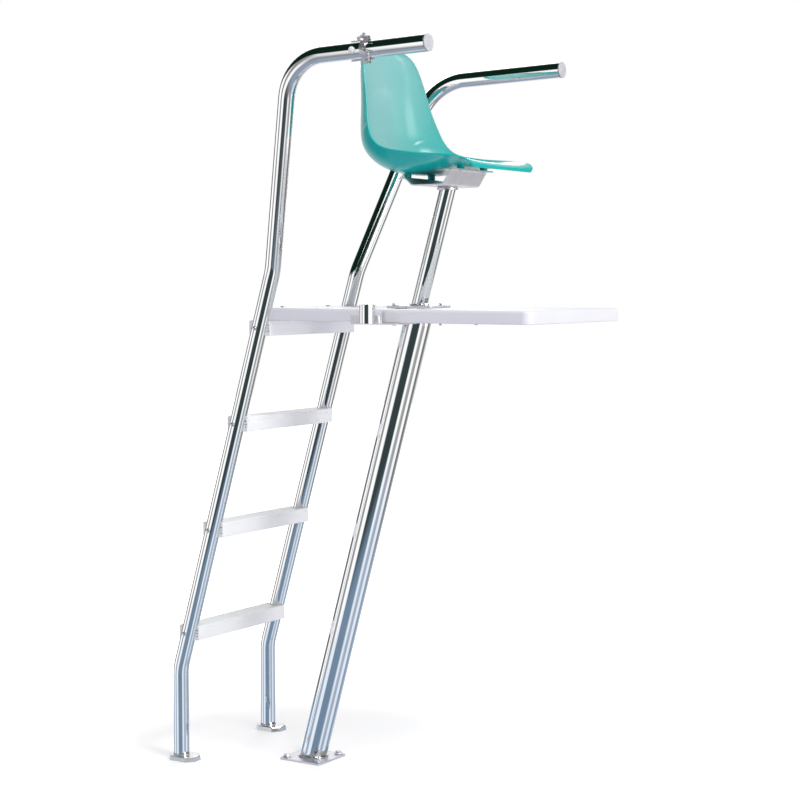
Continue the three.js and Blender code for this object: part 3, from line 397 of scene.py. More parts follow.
def surface(colour, roughness, relief, metallic=0.0, specular=0.5):
    """Ends a material with one shader."""
    shader = nodes.new("ShaderNodeBsdfPrincipled")
    links.new(colour, shader.inputs["Base Color"])
    links.new(roughness, shader.inputs["Roughness"])
    links.new(relief, shader.inputs["Normal"])
    shader.inputs["Metallic"].default_value = metallic
    shader.inputs["Specular IOR Level"].default_value = specular
    out = nodes.new("ShaderNodeOutputMaterial")
    links.new(shader.outputs["BSDF"], out.inputs["Surface"])


satin_steel, nodes, links = node_material("satin_steel")
tone = tones(noise(scale=26, detail=4), dark=(0.73, 0.71, 0.745, 1.0), light=(0.81, 0.79, 0.82, 1.0))
rough = between(noise(scale=60, detail=5), low=0.30, high=0.40)
brushing = bumps(noise(scale=1500, detail=2, stretch=(1.0, 0.04, 1.0)), depth=0.000004)
surface(tone, rough, brushing, metallic=0.55)

base = flat_plate((-plate_half, -plate_half, 0.0), (plate_half, plate_half, plate_thick), plate_corner)
for place in anchor_places:
    cut(base, upright_rod(place, -overrun, plate_thick + overrun, anchor_hole))
ease_edges(base, plate_ease)
finish(base, "base_plate", satin_steel)

# Bolts: plain stainless, each turned from bar. Anchor and tie bolts have a six-sided head with its
# corners chamfered on a flat washer, and the tread bolts and screws have a low round head. In each
# bolt's sizes the shank, head and washer are radii.
anchor_bolt = {"shank": 0.006, "head": 0.0104, "height": 0.008, "washer": 0.014, "washer_height": 0.0025}
touch_gap = 0.0003
chamfer_in = 0.00154
chamfer_down = 0.00066
fine_ease = 0.0004
hair = 0.00001
level_share = 0.9


def hex_bolt(seat, sizes, length):
    """A six-sided bolt that stands on its seat, head up."""
    seat = Vector(seat)
    washer_top = seat.z + sizes["washer_height"]
    head_top = washer_top + sizes["height"]
    head = upright_rod(seat, washer_top, head_top, sizes["head"], 6)

    def outer_corner(co):
        return co.z > head_top - hair and (co.xy - seat.xy).length > sizes["head"] - chamfer_in / 2

    edit_mode("FACE")
    select_where(lambda middle, normal: normal.z > level_share)
    bpy.ops.mesh.inset(thickness=chamfer_in)
    select_where(outer_corner, "verts")
    bpy.ops.transform.translate(value=(0, 0, -chamfer_down))
    object_mode()
    washer = upright_rod(seat, seat.z, washer_top, sizes["washer"], 40)
    ease_edges(washer, fine_ease)
    shank = upright_rod(seat, seat.z - length, washer_top + sizes["height"] / 2, sizes["shank"], 24)
    weld_on(head, shank, washer)
    return head


def finish_fastening(piece, name, body="frame"):
    finish(piece, name, plain_steel, body)


plain_steel, nodes, links = node_material("plain_steel")
tone = tones(noise(scale=90, detail=3), dark=(0.62, 0.61, 0.64, 1.0), light=(0.70, 0.69, 0.72, 1.0))
rough = between(noise(scale=60, detail=3), low=0.27, high=0.34)
surface(tone, rough, bumps(noise(scale=900, detail=2), depth=0.000002), metallic=0.8)

for number, place in enumerate(anchor_places, 1):
    bolt = hex_bolt((*place, plate_thick + touch_gap), anchor_bolt, plate_thick)
    finish_fastening(bolt, f"anchor_bolt_{number}")

# Post: a 3 1/4 inch polished stainless tube, cut level at both ends so that it leans forward.
# It stands in a weld bead on the base plate and reaches up between the boards to the top plate.
post_radius = 0.0415
post_wall = 0.003
post_lean = 0.281
post_bottom = plate_thick + touch_gap
post_top = 1.417
post_ripples = 44
bead_radius = 0.0030
bead_out_share = 0.6
bead_up_share = 0.9
ripple_width_share = 0.13
ripple_height_share = 0.07


def post_at(height):
    return Vector((0.0, -height * post_lean, height))


def give_wall(made, wall):
    """Thickens an open tube inwards."""
    choose(made)
    edit_mode("FACE")
    bpy.ops.mesh.select_all(action="SELECT")
    bpy.ops.mesh.normals_make_consistent(inside=False)
    object_mode()
    apply_modifier(made, "SOLIDIFY", thickness=wall, offset=-1.0, use_even_offset=True)


def leaning_tube(start, end, radius, wall, sides):
    """A tube from one point to a higher one, its ends cut level."""
    deselect()
    start, end = Vector(start), Vector(end)
    slope = (end.y - start.y) / (end.z - start.z)
    bpy.ops.mesh.primitive_circle_add(vertices=sides, radius=radius, fill_type="NOTHING", location=start)
    made = bpy.context.object
    settle(made)
    edit_mode("VERT")
    bpy.ops.mesh.select_all(action="SELECT")
    bpy.ops.transform.resize(value=(1.0, math.hypot(1.0, slope), 1.0), center_override=start)
    bpy.ops.mesh.extrude_region_move(TRANSFORM_OT_translate={"value": end - start})
    object_mode()
    give_wall(made, wall)
    return made


def weld_foot(tube, foot, radius, slope, ripples):
    """Runs a rippled weld bead round a leaning tube's foot."""
    deselect()
    middle = Vector(foot) + Vector((0.0, -slope, bead_up_share)) * bead_radius
    bpy.ops.mesh.primitive_torus_add(
        location=middle, major_radius=radius + bead_radius * bead_out_share, minor_radius=bead_radius,
        major_segments=ripples * 4, minor_segments=12,
    )
    bead = bpy.context.object
    settle(bead)

    def on_ripple(co):
        turn = math.atan2(co.y - middle.y, co.x - middle.x) / math.tau * ripples
        return abs(turn - round(turn)) < ripple_width_share

    edit_mode("VERT")
    select_where(on_ripple, "verts")
    bpy.ops.transform.shrink_fatten(value=bead_radius * ripple_height_share)
    bpy.ops.mesh.select_all(action="SELECT")
    bpy.ops.transform.resize(value=(1.0, math.hypot(1.0, slope), 1.0), center_override=middle)
    object_mode()
    weld_on(tube, bead)


polished_tube, nodes, links = node_material("polished_tube")
tone = tones(noise(scale=7, detail=4), dark=(0.82, 0.825, 0.835, 1.0), light=(0.88, 0.885, 0.89, 1.0))
smears = between(noise(scale=9, detail=6, stretch=(1.0, 1.0, 0.35)), low=0.03, high=0.07)
scratches = bumps(noise(scale=700, detail=3, stretch=(1.0, 1.0, 0.03)), depth=0.000006)
surface(tone, smears, scratches, metallic=1.0)

post = leaning_tube(post_at(post_bottom), post_at(post_top), post_radius, post_wall, 72)
weld_foot(post, post_at(post_bottom), post_radius, post_lean, post_ripples)
finish(post, "post", polished_tube)

# Side rails: one long 1.9 inch polished tube each. From the ground up it is bent at the knee, leans
# forward between the treads, flares outward and forward, and turns level to make an arm rest.
rail_radius = 0.02415
rail_wall = 0.0028
rail_half = 0.2285
rail_back = 0.342
knee_height = 0.2896
rail_lean = 0.292
flare_height = 1.527
flare_forward = 0.183
arm_half = 0.393
arm_height = 2.1256
arm_rise = 0.033
arm_front = 0.660
knee_bend = 0.150
arm_bend = 0.156
slope_forward = (flare_height - knee_height) * rail_lean - rail_back
arm_corner_forward = slope_forward + flare_forward
hands = ((-1, "right"), (1, "left"))


def rail_at(side, height):
    return Vector((side * rail_half, rail_back - (height - knee_height) * rail_lean, height))


def arm_at(side, forward):
    return Vector((side * arm_half, -forward, arm_height + (forward - arm_corner_forward) * arm_rise))


def bent_tube(corners, bends, radius, wall, sides=56, steps=14):
    """A tube drawn from corner to corner and spun round each bend. With no wall it is a solid rod."""
    deselect()
    corners = [Vector(corner) for corner in corners]
    runs = [(b - a).normalized() for a, b in zip(corners, corners[1:])]
    here = corners[0]
    turned = runs[0].to_track_quat("Z", "Y").to_euler()
    fill = "NOTHING" if wall else "NGON"
    bpy.ops.mesh.primitive_circle_add(
        vertices=sides, radius=radius, fill_type=fill, location=here, rotation=turned
    )
    made = bpy.context.object
    settle(made)
    edit_mode("VERT")
    bpy.ops.mesh.select_all(action="SELECT")
    for before, after, corner, bend in zip(runs, runs[1:], corners[1:], bends):
        angle = before.angle(after)
        axis = before.cross(after).normalized()
        start = corner - before * bend * math.tan(angle / 2)
        centre = start + axis.cross(before) * bend
        bpy.ops.mesh.extrude_region_move(TRANSFORM_OT_translate={"value": start - here})
        bpy.ops.mesh.spin(steps=steps, angle=-angle, center=centre, axis=axis)
        here = centre + Matrix.Rotation(angle, 3, axis) @ (start - centre)
    bpy.ops.mesh.extrude_region_move(TRANSFORM_OT_translate={"value": corners[-1] - here})
    if not wall:
        bpy.ops.mesh.edge_face_add()
    bpy.ops.mesh.select_all(action="SELECT")
    bpy.ops.mesh.normals_make_consistent(inside=False)
    object_mode()
    if wall:
        give_wall(made, wall)
    return made


for side, hand in hands:
    corners = [
        (side * rail_half, rail_back, 0.0),
        (side * rail_half, rail_back, knee_height),
        (side * rail_half, -slope_forward, flare_height),
        arm_at(side, arm_corner_forward),
        arm_at(side, arm_front),
    ]
    rail = bent_tube(corners, (knee_bend, knee_bend, arm_bend), rail_radius, rail_wall)
    finish(rail, f"side_rail_{hand}", polished_tube)

# Foot covers: bright pressed caps that slide down each rail and hide its hole in the deck.
# Eight-sided, with a steep skirt and a round shoulder, open below, with a neck round the tube.
cover_half_width = 0.038
cover_half_length = 0.051
cover_corner = 0.022
cover_forward = 0.012
cover_height = 0.016
cover_lean = 0.0024
cover_shoulder = 0.0054
cover_round = 0.62
cover_wall = 0.0015
cover_ease = 0.0009
neck_height = 0.0030
neck_wall = 0.0022

bright_cover, nodes, links = node_material("bright_cover")
tone = tones(noise(scale=30, detail=4), dark=(0.84, 0.845, 0.86, 1.0), light=(0.91, 0.915, 0.92, 1.0))
rough = between(noise(scale=22, detail=5), low=0.12, high=0.20)
surface(tone, rough, bumps(noise(scale=900, detail=3), depth=0.000004), metallic=0.72)

for side, hand in hands:
    foot = Vector((side * rail_half, rail_back, 0.0))
    middle = foot - Vector((0.0, cover_forward, 0.0))
    corner = Vector((cover_half_width, cover_half_length, 0.0))
    cover = flat_plate(middle - corner, middle + corner + Vector((0, 0, cover_height)), cover_corner, 1)
    edit_mode("EDGE")
    select_where(lambda a, b: min(a.z, b.z) > cover_height - touch_gap, "edges")
    drawn_in = (1 - cover_lean / cover_half_width, 1 - cover_lean / cover_half_length, 1)
    bpy.ops.transform.resize(value=drawn_in, center_override=middle)
    bpy.ops.mesh.bevel(offset=cover_shoulder, segments=4, profile=cover_round)
    bpy.ops.mesh.select_mode(type="FACE")
    select_where(lambda middle, normal: normal.z < -level_share)
    bpy.ops.mesh.delete(type="FACE")
    object_mode()
    give_wall(cover, cover_wall)
    neck_top = cover_height + neck_height
    weld_on(cover, upright_rod(foot, cover_height - cover_wall, neck_top, rail_radius + neck_wall, 56))
    cut(cover, upright_rod(foot, -overrun, neck_top + overrun, rail_radius + touch_gap, 56))
    ease_edges(cover, cover_ease, 3, 20)
    finish(cover, f"foot_cover_{hand}", bright_cover)

# Treads: white moulded plastic, each end cupped to sit round half of its rail. The top is grained
# and grooved for wet feet, the nose has a shadow line, and each end shows three small slots.
tread_tops = (0.425, 0.7553, 1.086, 1.3786)
tread_depth = 0.0762
tread_height = 0.0455
tread_edge = 0.004
tread_end_ease = 0.0009
tread_side_skin = 0.005
tread_top_skin = 0.0062
tread_end_block = 0.066
tread_rib = 0.006
pocket_count = 3
grooves_each_way = 3
groove_pitch = 0.009
groove_radius = 0.0014
groove_up_share = 0.2
nose_drop = 0.0102
nose_radius = 0.0012
slot_forward = 0.031
slot_size = Vector((0.018, 0.008, 0.0032))
slot_pitch = 0.009


def join_tools(tools):
    """Several cutting tools as one object."""
    deselect()
    for tool in tools:
        tool.select_set(True)
    bpy.context.view_layer.objects.active = tools[0]
    bpy.ops.object.join()
    return tools[0]


def rail_cutter(side, low, high):
    """A bar along a rail that cuts a seat for it between two heights."""
    start, end = rail_at(side, low - overrun), rail_at(side, high + overrun)
    return round_rod(start, end, rail_radius + touch_gap, 56)


def line_cutter(back, height, radius):
    """A thin bar that cuts a line along a whole tread."""
    reach = rail_half + overrun
    return round_rod((-reach, back, height), (reach, back, height), radius, 12)


def tread_block(top):
    """A tread with its top at one height, cupped, slotted, grooved and hollow below."""
    middle = rail_at(0, top - tread_height / 2)
    bottom, front, back = top - tread_height, middle.y - tread_depth / 2, middle.y + tread_depth / 2
    made = box_between((-rail_half, front, bottom), (rail_half, back, top))
    edit_mode("EDGE")
    select_where(lambda a, b: abs(a.x - b.x) > rail_half, "edges")
    bpy.ops.mesh.bevel(offset=tread_edge, segments=4)
    select_where(lambda a, b: abs(a.x - b.x) < hair and abs(a.x) > rail_half - hair, "edges")
    bpy.ops.mesh.bevel(offset=tread_end_ease, segments=2)
    object_mode()
    for side in (-1, 1):
        slots = []
        for step in (-1, 0, 1):
            slot = Vector((side * rail_half, middle.y - slot_forward, middle.z + step * slot_pitch))
            slots.append(box_between(slot - slot_size / 2, slot + slot_size / 2))
        cut(made, rail_cutter(side, bottom, top), join_tools(slots))
    lines = []
    for step in range(-grooves_each_way, grooves_each_way + 1):
        height = top + groove_radius * groove_up_share
        lines.append(line_cutter(middle.y + step * groove_pitch, height, groove_radius))
    lines.append(line_cutter(front, top - nose_drop, nose_radius))
    cut(made, join_tools(lines))
    room = rail_half * 2 - tread_end_block * 2 - tread_rib * (pocket_count - 1)
    pockets = []
    for step in range(pocket_count):
        start = tread_end_block - rail_half + step * (room / pocket_count + tread_rib)
        low = (start, front + tread_side_skin, bottom - overrun)
        high = (start + room / pocket_count, back - tread_side_skin, top - tread_top_skin)
        pockets.append(box_between(low, high))
    cut(made, join_tools(pockets))
    return made


def copy_to(piece, shift):
    """A copy of a piece with its own mesh, moved by a shift."""
    made = piece.copy()
    made.data = piece.data.copy()
    bpy.context.scene.collection.objects.link(made)
    made.location = shift
    settle(made)
    return made


white_tread, nodes, links = node_material("white_tread")
# The treads' white is set paler than the boards'. This is partly painted light, making up for the light
# that the boards above keep off the treads.
tone = tones(noise(scale=14, detail=5), dark=(0.935, 0.945, 0.94, 1.0), light=(0.96, 0.97, 0.96, 1.0))
rough = between(noise(scale=45, detail=4), low=0.42, high=0.58)
grain = bumps(noise(scale=1300, detail=3), depth=0.00004)
surface(tone, rough, bumps(noise(scale=160, detail=3), depth=0.00005, onto=grain))

first_tread = tread_block(tread_tops[0])
for number, top in enumerate(tread_tops, 1):
    tread = copy_to(first_tread, rail_at(0, top) - rail_at(0, tread_tops[0]))
    finish(tread, f"tread_{number}", white_tread)
bpy.data.objects.remove(first_tread)

# Tread bolts: plain stainless with a low round head. One is driven through each rail and on into the
# end of each tread, and its head stays on the rail's outer side.
tread_bolt = {"shank": 0.004, "head": 0.0068, "height": 0.0045, "length": 0.084}


def round_head(seat, direction, sizes):
    """A low round-headed bolt, its head standing off its seat along a direction."""
    deselect()
    bpy.ops.mesh.primitive_uv_sphere_add(
        segments=32, ring_count=16, radius=sizes["head"], location=(0, 0, 0)
    )
    head = bpy.context.object
    edit_mode("VERT")
    bpy.ops.mesh.select_all(action="SELECT")
    bpy.ops.mesh.bisect(plane_co=(0, 0, 0), plane_no=(0, 0, 1), use_fill=True, clear_inner=True)
    bpy.ops.mesh.select_all(action="SELECT")
    bpy.ops.transform.resize(value=(1, 1, sizes["height"] / sizes["head"]), center_override=(0, 0, 0))
    object_mode()
    ease_edges(head, fine_ease, 2, 60)
    weld_on(head, upright_rod((0, 0), -sizes["length"], sizes["height"] / 2, sizes["shank"], 20))
    head.rotation_euler = Vector(direction).to_track_quat("Z", "Y").to_euler()
    head.location = seat
    settle(head)
    return head


for number, top in enumerate(tread_tops, 1):
    for side, hand in hands:
        outward = Vector((side, 0, 0))
        seat = rail_at(side, top - tread_height / 2) + outward * (rail_radius + touch_gap)
        finish_fastening(round_head(seat, outward, tread_bolt), f"tread_{number}_bolt_{hand}")

# Step board: a white sheet board on the top tread, notched round both rails and screwed down at the
# back. Its top edges are rounded over with a router, its lower ones eased, and its top lightly grained.
board_top = 1.417
board_thick = 0.0381
board_bottom = board_top - board_thick
board_round = 0.009
board_ease = 0.003
post_room = 0.002
step_back = 0.038
step_front = 0.34998
step_corner = 0.014
screw_side = 0.122
screw_back = 0.022
board_screw = {"shank": 0.004, "head": 0.0065, "height": 0.004, "length": 0.050}


def post_cutter(low, high, play):
    """A bar along the post that cuts room for it between two heights."""
    return round_rod(post_at(low - overrun), post_at(high + overrun), post_radius + play, 72)


def board(half, front, back, corner, corner_steps):
    made = flat_plate((-half, front, board_bottom), (half, back, board_top), corner, corner_steps)
    edit_mode("EDGE")
    select_where(lambda a, b: min(a.z, b.z) > board_top - touch_gap, "edges")
    bpy.ops.mesh.bevel(offset=board_round, segments=7)
    select_where(lambda a, b: max(a.z, b.z) < board_bottom + touch_gap, "edges")
    bpy.ops.mesh.bevel(offset=board_ease, segments=3)
    object_mode()
    cut(made, post_cutter(board_bottom, board_top, post_room))
    return made


white_board, nodes, links = node_material("white_board")
tone = tones(noise(scale=6, detail=5), dark=(0.835, 0.835, 0.865, 1.0), light=(0.875, 0.875, 0.895, 1.0))
rough = between(noise(scale=30, detail=4), low=0.38, high=0.54)
grain = bumps(noise(scale=900, detail=4), depth=0.00004)
surface(tone, rough, bumps(noise(scale=70, detail=3), depth=0.00008, onto=grain))

step_board = board(rail_half, -step_front, step_back, step_corner, 4)
cut(step_board, rail_cutter(-1, board_bottom, board_top), rail_cutter(1, board_bottom, board_top))
finish(step_board, "step_board", white_board)
for side, hand in hands:
    seat = (side * screw_side, screw_back, board_top + touch_gap)
    finish_fastening(round_head(seat, (0, 0, 1), board_screw), f"step_board_screw_{hand}")

# Footboard: the wide white board in front of the post, where the guard's feet rest.
# Round front and back corners, eased edges, screwed up from below.
foot_back = 0.42998
foot_front = 0.91798
foot_half = 0.283
foot_corner = 0.026

footboard = board(foot_half, -foot_front, -foot_back, foot_corner, 12)
finish(footboard, "footboard", white_board)

# Two flat satin plates tie the boards together, one on top under the seat post and one below round
# the post. Four bolts go down through both and the boards, with a nut below each.
tie_half = 0.059
tie_corner = 0.008
tie_sheet = 0.006
top_plate_bottom = board_top + touch_gap
top_plate_top = top_plate_bottom + tie_sheet
under_plate_top = board_bottom - touch_gap
under_plate_bottom = under_plate_top - tie_sheet
tie_back = 0.31098
tie_front = 0.46898
under_front = 0.63998
tie_side = 0.048
tie_rows = (0.33798, 0.44198)
tie_places = [(side * tie_side, -row) for row in tie_rows for side in (-1, 1)]
tie_bolt = {"shank": 0.005, "head": 0.009, "height": 0.0064, "washer": 0.0105, "washer_height": 0.002}
tie_nut_radius = 0.0092
tie_nut_height = 0.008
tie_nut_ease = 0.0006

top_high = (tie_half, -tie_back, top_plate_top)
top_plate = flat_plate((-tie_half, -tie_front, top_plate_bottom), top_high, tie_corner)
under_high = (tie_half, -tie_back, under_plate_top)
under_plate = flat_plate((-tie_half, -under_front, under_plate_bottom), under_high, tie_corner)
cut(under_plate, post_cutter(under_plate_bottom, under_plate_top, touch_gap))
for plate, name in ((top_plate, "top_plate"), (under_plate, "under_plate")):
    ease_edges(plate, plate_ease)
    finish(plate, name, satin_steel)


def hex_nut(place, low, height, radius, ease, bore, bore_sides):
    """A six-sided nut that stands at a place, bored for its bolt."""
    nut = upright_rod(place, low, low + height, radius, 6)
    ease_edges(nut, ease)
    cut(nut, upright_rod(place, low - overrun, low + height + overrun, bore + touch_gap, bore_sides))
    return nut


tie_head = top_plate_top + touch_gap
nut_low = under_plate_bottom - touch_gap - tie_nut_height
for number, place in enumerate(tie_places, 1):
    finish_fastening(hex_bolt((*place, tie_head), tie_bolt, tie_head - nut_low), f"tie_bolt_{number}")
    nut = hex_nut(place, nut_low, tie_nut_height, tie_nut_radius, tie_nut_ease, tie_bolt["shank"], 24)
    finish_fastening(nut, f"tie_nut_{number}")

# Umbrella holder below: a short bright tube with a floor, beside the boards, on a strap of satin
# steel that is screwed up under the footboard and bent up along the tube.
pole_at = Vector((-0.341, -0.42998, 0.0))
sleeve_radius = 0.02225
sleeve_bore = 0.0195
sleeve_bottom = 1.378
sleeve_top = 1.431
sleeve_floor = 0.004
sleeve_ease = 0.0006
strap_sheet = 0.004
strap_back = 0.35898
strap_front = 0.49998
lip_front = 0.45898
strap_outer = -pole_at.x - sleeve_radius - touch_gap
strap_inner = 0.188
strap_top = 1.401
strap_bottom = under_plate_top - strap_sheet
strap_ease = 0.0010
under_screw = {"shank": 0.003, "head": 0.0055, "height": 0.003, "length": 0.020}
strap_screw_sides = (0.265, 0.210)
strap_screw_forward = 0.47398
under_screw_forward = 0.61598

sleeve = upright_rod(pole_at, sleeve_bottom, sleeve_top, sleeve_radius, 64)
cut(sleeve, upright_rod(pole_at, sleeve_bottom + sleeve_floor, sleeve_top + overrun, sleeve_bore, 64))
ease_edges(sleeve, sleeve_ease, 3, 40)
finish(sleeve, "umbrella_sleeve", polished_tube)

strap_high = (-strap_inner, -strap_back, under_plate_top)
strap = box_between((-strap_outer, -strap_front, strap_bottom), strap_high)
lip_high = (-strap_outer + strap_sheet, -strap_back, strap_top)
lip = box_between((-strap_outer, -lip_front, strap_bottom), lip_high)
weld_on(strap, lip)
ease_edges(strap, strap_ease, 3)
finish(strap, "sleeve_bracket", satin_steel)

screw_seats = [(side * tie_side, -under_screw_forward, under_plate_bottom - touch_gap) for side in (-1, 1)]
screw_seats += [(-side, -strap_screw_forward, strap_bottom - touch_gap) for side in strap_screw_sides]
for number, seat in enumerate(screw_seats, 1):
    finish_fastening(round_head(seat, (0, 0, -1), under_screw), f"under_screw_{number}")

# Seat post: a shorter polished tube, as thick as the rails. It is welded to the top plate and goes on
# leaning forward, up to the swivel's hub.
seat_post_radius = 0.02415
seat_post_wall = 0.0037
seat_post_foot = 0.39198
seat_post_top = 1.76435
seat_post_ripples = 28
swivel_forward = 0.48998
seat_post_lean = (swivel_forward - seat_post_foot) / (seat_post_top - top_plate_top)

foot = (0.0, -seat_post_foot - touch_gap * seat_post_lean, top_plate_top + touch_gap)
head = (0.0, -swivel_forward, seat_post_top)
seat_post = leaning_tube(foot, head, seat_post_radius, seat_post_wall, 64)
weld_foot(seat_post, foot, seat_post_radius, seat_post_lean, seat_post_ripples)
finish(seat_post, "seat_post", polished_tube)

# Swivel: a turned hub on the seat post with an upright spindle, a grey plastic washer that the
# bracket turns on, and a nut above the bracket that holds the seat down.
swivel_at = (0.0, -swivel_forward)
hub_bottom = seat_post_top + touch_gap
hub_radius = 0.031
hub_thick = 0.006
hub_ease = 0.0007
spindle_radius = 0.010
washer_bottom = hub_bottom + hub_thick + touch_gap
washer_thick = 0.003
washer_radius = 0.028
bracket_bottom = washer_bottom + washer_thick + touch_gap
bracket_sheet = 0.004
bracket_top = bracket_bottom + bracket_sheet
spindle_stand = 0.013
spindle_top = bracket_top + spindle_stand
nut_radius = 0.01732
nut_height = 0.010
nut_ease = 0.0009

hub = upright_rod(swivel_at, hub_bottom, hub_bottom + hub_thick, hub_radius, 64)
weld_on(hub, upright_rod(swivel_at, hub_bottom + hub_thick / 2, spindle_top, spindle_radius, 40))
ease_edges(hub, hub_ease, 3, 40)
finish_fastening(hub, "swivel_hub")

grey_plastic, nodes, links = node_material("grey_plastic")
tone = tones(noise(scale=60, detail=4), dark=(0.52, 0.525, 0.55, 1.0), light=(0.62, 0.625, 0.645, 1.0))
rough = between(noise(scale=120, detail=3), low=0.36, high=0.5)
surface(tone, rough, bumps(noise(scale=900, detail=3), depth=0.00006))


def bore_for_spindle(piece, low, high):
    cut(piece, upright_rod(swivel_at, low - overrun, high + overrun, spindle_radius + touch_gap, 40))


washer = upright_rod(swivel_at, washer_bottom, washer_bottom + washer_thick, washer_radius, 64)
bore_for_spindle(washer, washer_bottom, bracket_bottom)
ease_edges(washer, fine_ease, 2, 40)
finish(washer, "swivel_washer", grey_plastic)
nut = hex_nut(swivel_at, bracket_top + touch_gap, nut_height, nut_radius, nut_ease, spindle_radius, 40)
finish_fastening(nut, "swivel_nut")

# Seat bracket: one strip of satin steel sheet bent into a tray, with a flat middle on the swivel and
# a flange in front and one behind that carry the shell. Four bolts go up through them.
bracket_half = 0.104
bracket_middle = bracket_bottom + bracket_sheet / 2
rear_flange = 1.79765
front_flange = 1.81892
bracket_line = [
    (0.382, rear_flange), (0.406, rear_flange), (0.430, bracket_middle),
    (0.535, bracket_middle), (0.562, front_flange), (0.586, front_flange),
]
bracket_bend = 0.006
bracket_ease = 0.0008
seat_bolt_side = 0.067
seat_bolt_rows = ((0.394, rear_flange), (0.574, front_flange))
seat_bolt = {"shank": 0.003, "head": 0.0058, "height": 0.004, "length": 0.010}

deselect()
bpy.ops.mesh.primitive_plane_add(size=1.0, location=(0, 0, 0))
bracket = bpy.context.object
edit_mode("VERT")
select_where(lambda co: co.y > 0, "verts")
bpy.ops.mesh.delete(type="VERT")
bpy.ops.mesh.select_all(action="SELECT")
bpy.ops.transform.resize(value=(bracket_half * 2, 0.0, 1.0), center_override=(0, 0, 0))
bpy.ops.transform.translate(value=(0, -bracket_line[0][0], bracket_line[0][1]))
for (forward, height), (next_forward, next_height) in zip(bracket_line, bracket_line[1:]):
    step = Vector((0, forward - next_forward, next_height - height))
    bpy.ops.mesh.extrude_region_move(TRANSFORM_OT_translate={"value": step})
bends = [Vector((0, -forward, height)) for forward, height in bracket_line[1:-1]]


def at_a_bend(a, b):
    middle = (a + b) / 2
    return abs(a.x - b.x) > bracket_half and any((middle - bend).length < touch_gap for bend in bends)


bpy.ops.mesh.select_mode(type="EDGE")
select_where(at_a_bend, "edges")
bpy.ops.mesh.bevel(offset=bracket_bend, segments=6)
object_mode()
apply_modifier(bracket, "SOLIDIFY", thickness=bracket_sheet, offset=0.0)
bore_for_spindle(bracket, bracket_bottom, bracket_top)
ease_edges(bracket, bracket_ease, 2, 50)
finish(bracket, "seat_bracket", satin_steel, "seat")

bolt_seats = [
    (side * seat_bolt_side, -forward, height) for forward, height in seat_bolt_rows for side in (-1, 1)
]
for number, (across, back, height) in enumerate(bolt_seats, 1):
    bolt = round_head((across, back, height - bracket_sheet / 2 - touch_gap), (0, 0, -1), seat_bolt)
    finish_fastening(bolt, f"seat_bolt_{number}", "seat")

# Seat shell: one glossy teal moulding. The pan dishes down and its sides turn up and run on into
# the sides of the back, and the rim all round is thicker than the sheet. Four bosses below take bolts.
# Each row holds a line's place forward, height, half width, rim's rise and the rise's tilt in degrees.
shell_sheet = 0.0046
shell_rim = 0.0075
shell_bowl = 3.6
shell_columns = 18
shell_rows = [
    (0.675, 1.817, 0.168, 0.000, 0), (0.673, 1.827, 0.184, 0.003, 0), (0.656, 1.8355, 0.196, 0.0085, 0),
    (0.615, 1.836, 0.204, 0.016, 0), (0.560, 1.827, 0.209, 0.030, 2), (0.500, 1.8185, 0.212, 0.0435, 6),
    (0.440, 1.8125, 0.214, 0.0585, 12), (0.390, 1.811, 0.215, 0.070, 20), (0.337, 1.824, 0.214, 0.080, 33),
    (0.292, 1.851, 0.210, 0.092, 47), (0.263, 1.886, 0.204, 0.098, 61), (0.254, 1.930, 0.197, 0.090, 70),
    (0.251, 1.977, 0.184, 0.080, 75), (0.249, 2.031, 0.172, 0.070, 79), (0.245, 2.090, 0.162, 0.061, 83),
    (0.239, 2.145, 0.146, 0.052, 85), (0.234, 2.178, 0.126, 0.040, 87), (0.231, 2.196, 0.088, 0.024, 88),
]
boss_radius = 0.011
boss_bore = 0.006
boss_tops = (1.81095, 1.81095, 1.82972, 1.82972)
hole_play = 0.0004
sitter_middle = Vector((0.0, -0.45, 2.05))
facing_gain = 2.0
edge_on_share = 0.5
# Low on the shell's sides the pale inner tone gives way to the deep one; this is painted shade.
flank_shade_start = 0.03
flank_shade_top = 2.35
flank_shade_gain = 9.0
flank_shade_most = 0.8
crease_side = 0.08
crease_height = 1.898
crease_curve = 4.0
crease_width = 0.006
crease_step = 0.0022


def shell_place(row, column):
    """A point of the shell's middle sheet: the rows run from the lip to the top of the back."""
    forward, height, half, rise, tilt = shell_rows[row]
    across = math.sin((column / shell_columns * 2 - 1) * math.pi / 2)
    lift = rise * abs(across) ** shell_bowl
    tilt = math.radians(tilt)
    return Vector((across * half, -forward - math.sin(tilt) * lift, height + math.cos(tilt) * lift))


def drawn_out(line):
    """Sets a line's inner points a little outside, so that a subdivided surface passes through them."""
    inner = [p - (a - p * 2 + b) / 6 for a, p, b in zip(line, line[1:], line[2:])]
    return [line[0], *inner, line[-1]]


def row_and_column(index):
    """A grid vertex's key, which sorts the vertices row by row."""
    place = shell.data.vertices[index].co
    return round(place.y, 4), round(place.x, 4)


last_row = len(shell_rows) - 1
grid = [[shell_place(row, column) for column in range(shell_columns + 1)] for row in range(last_row + 1)]
columns = [drawn_out(list(line)) for line in zip(*map(drawn_out, grid))]
grid = list(zip(*columns))

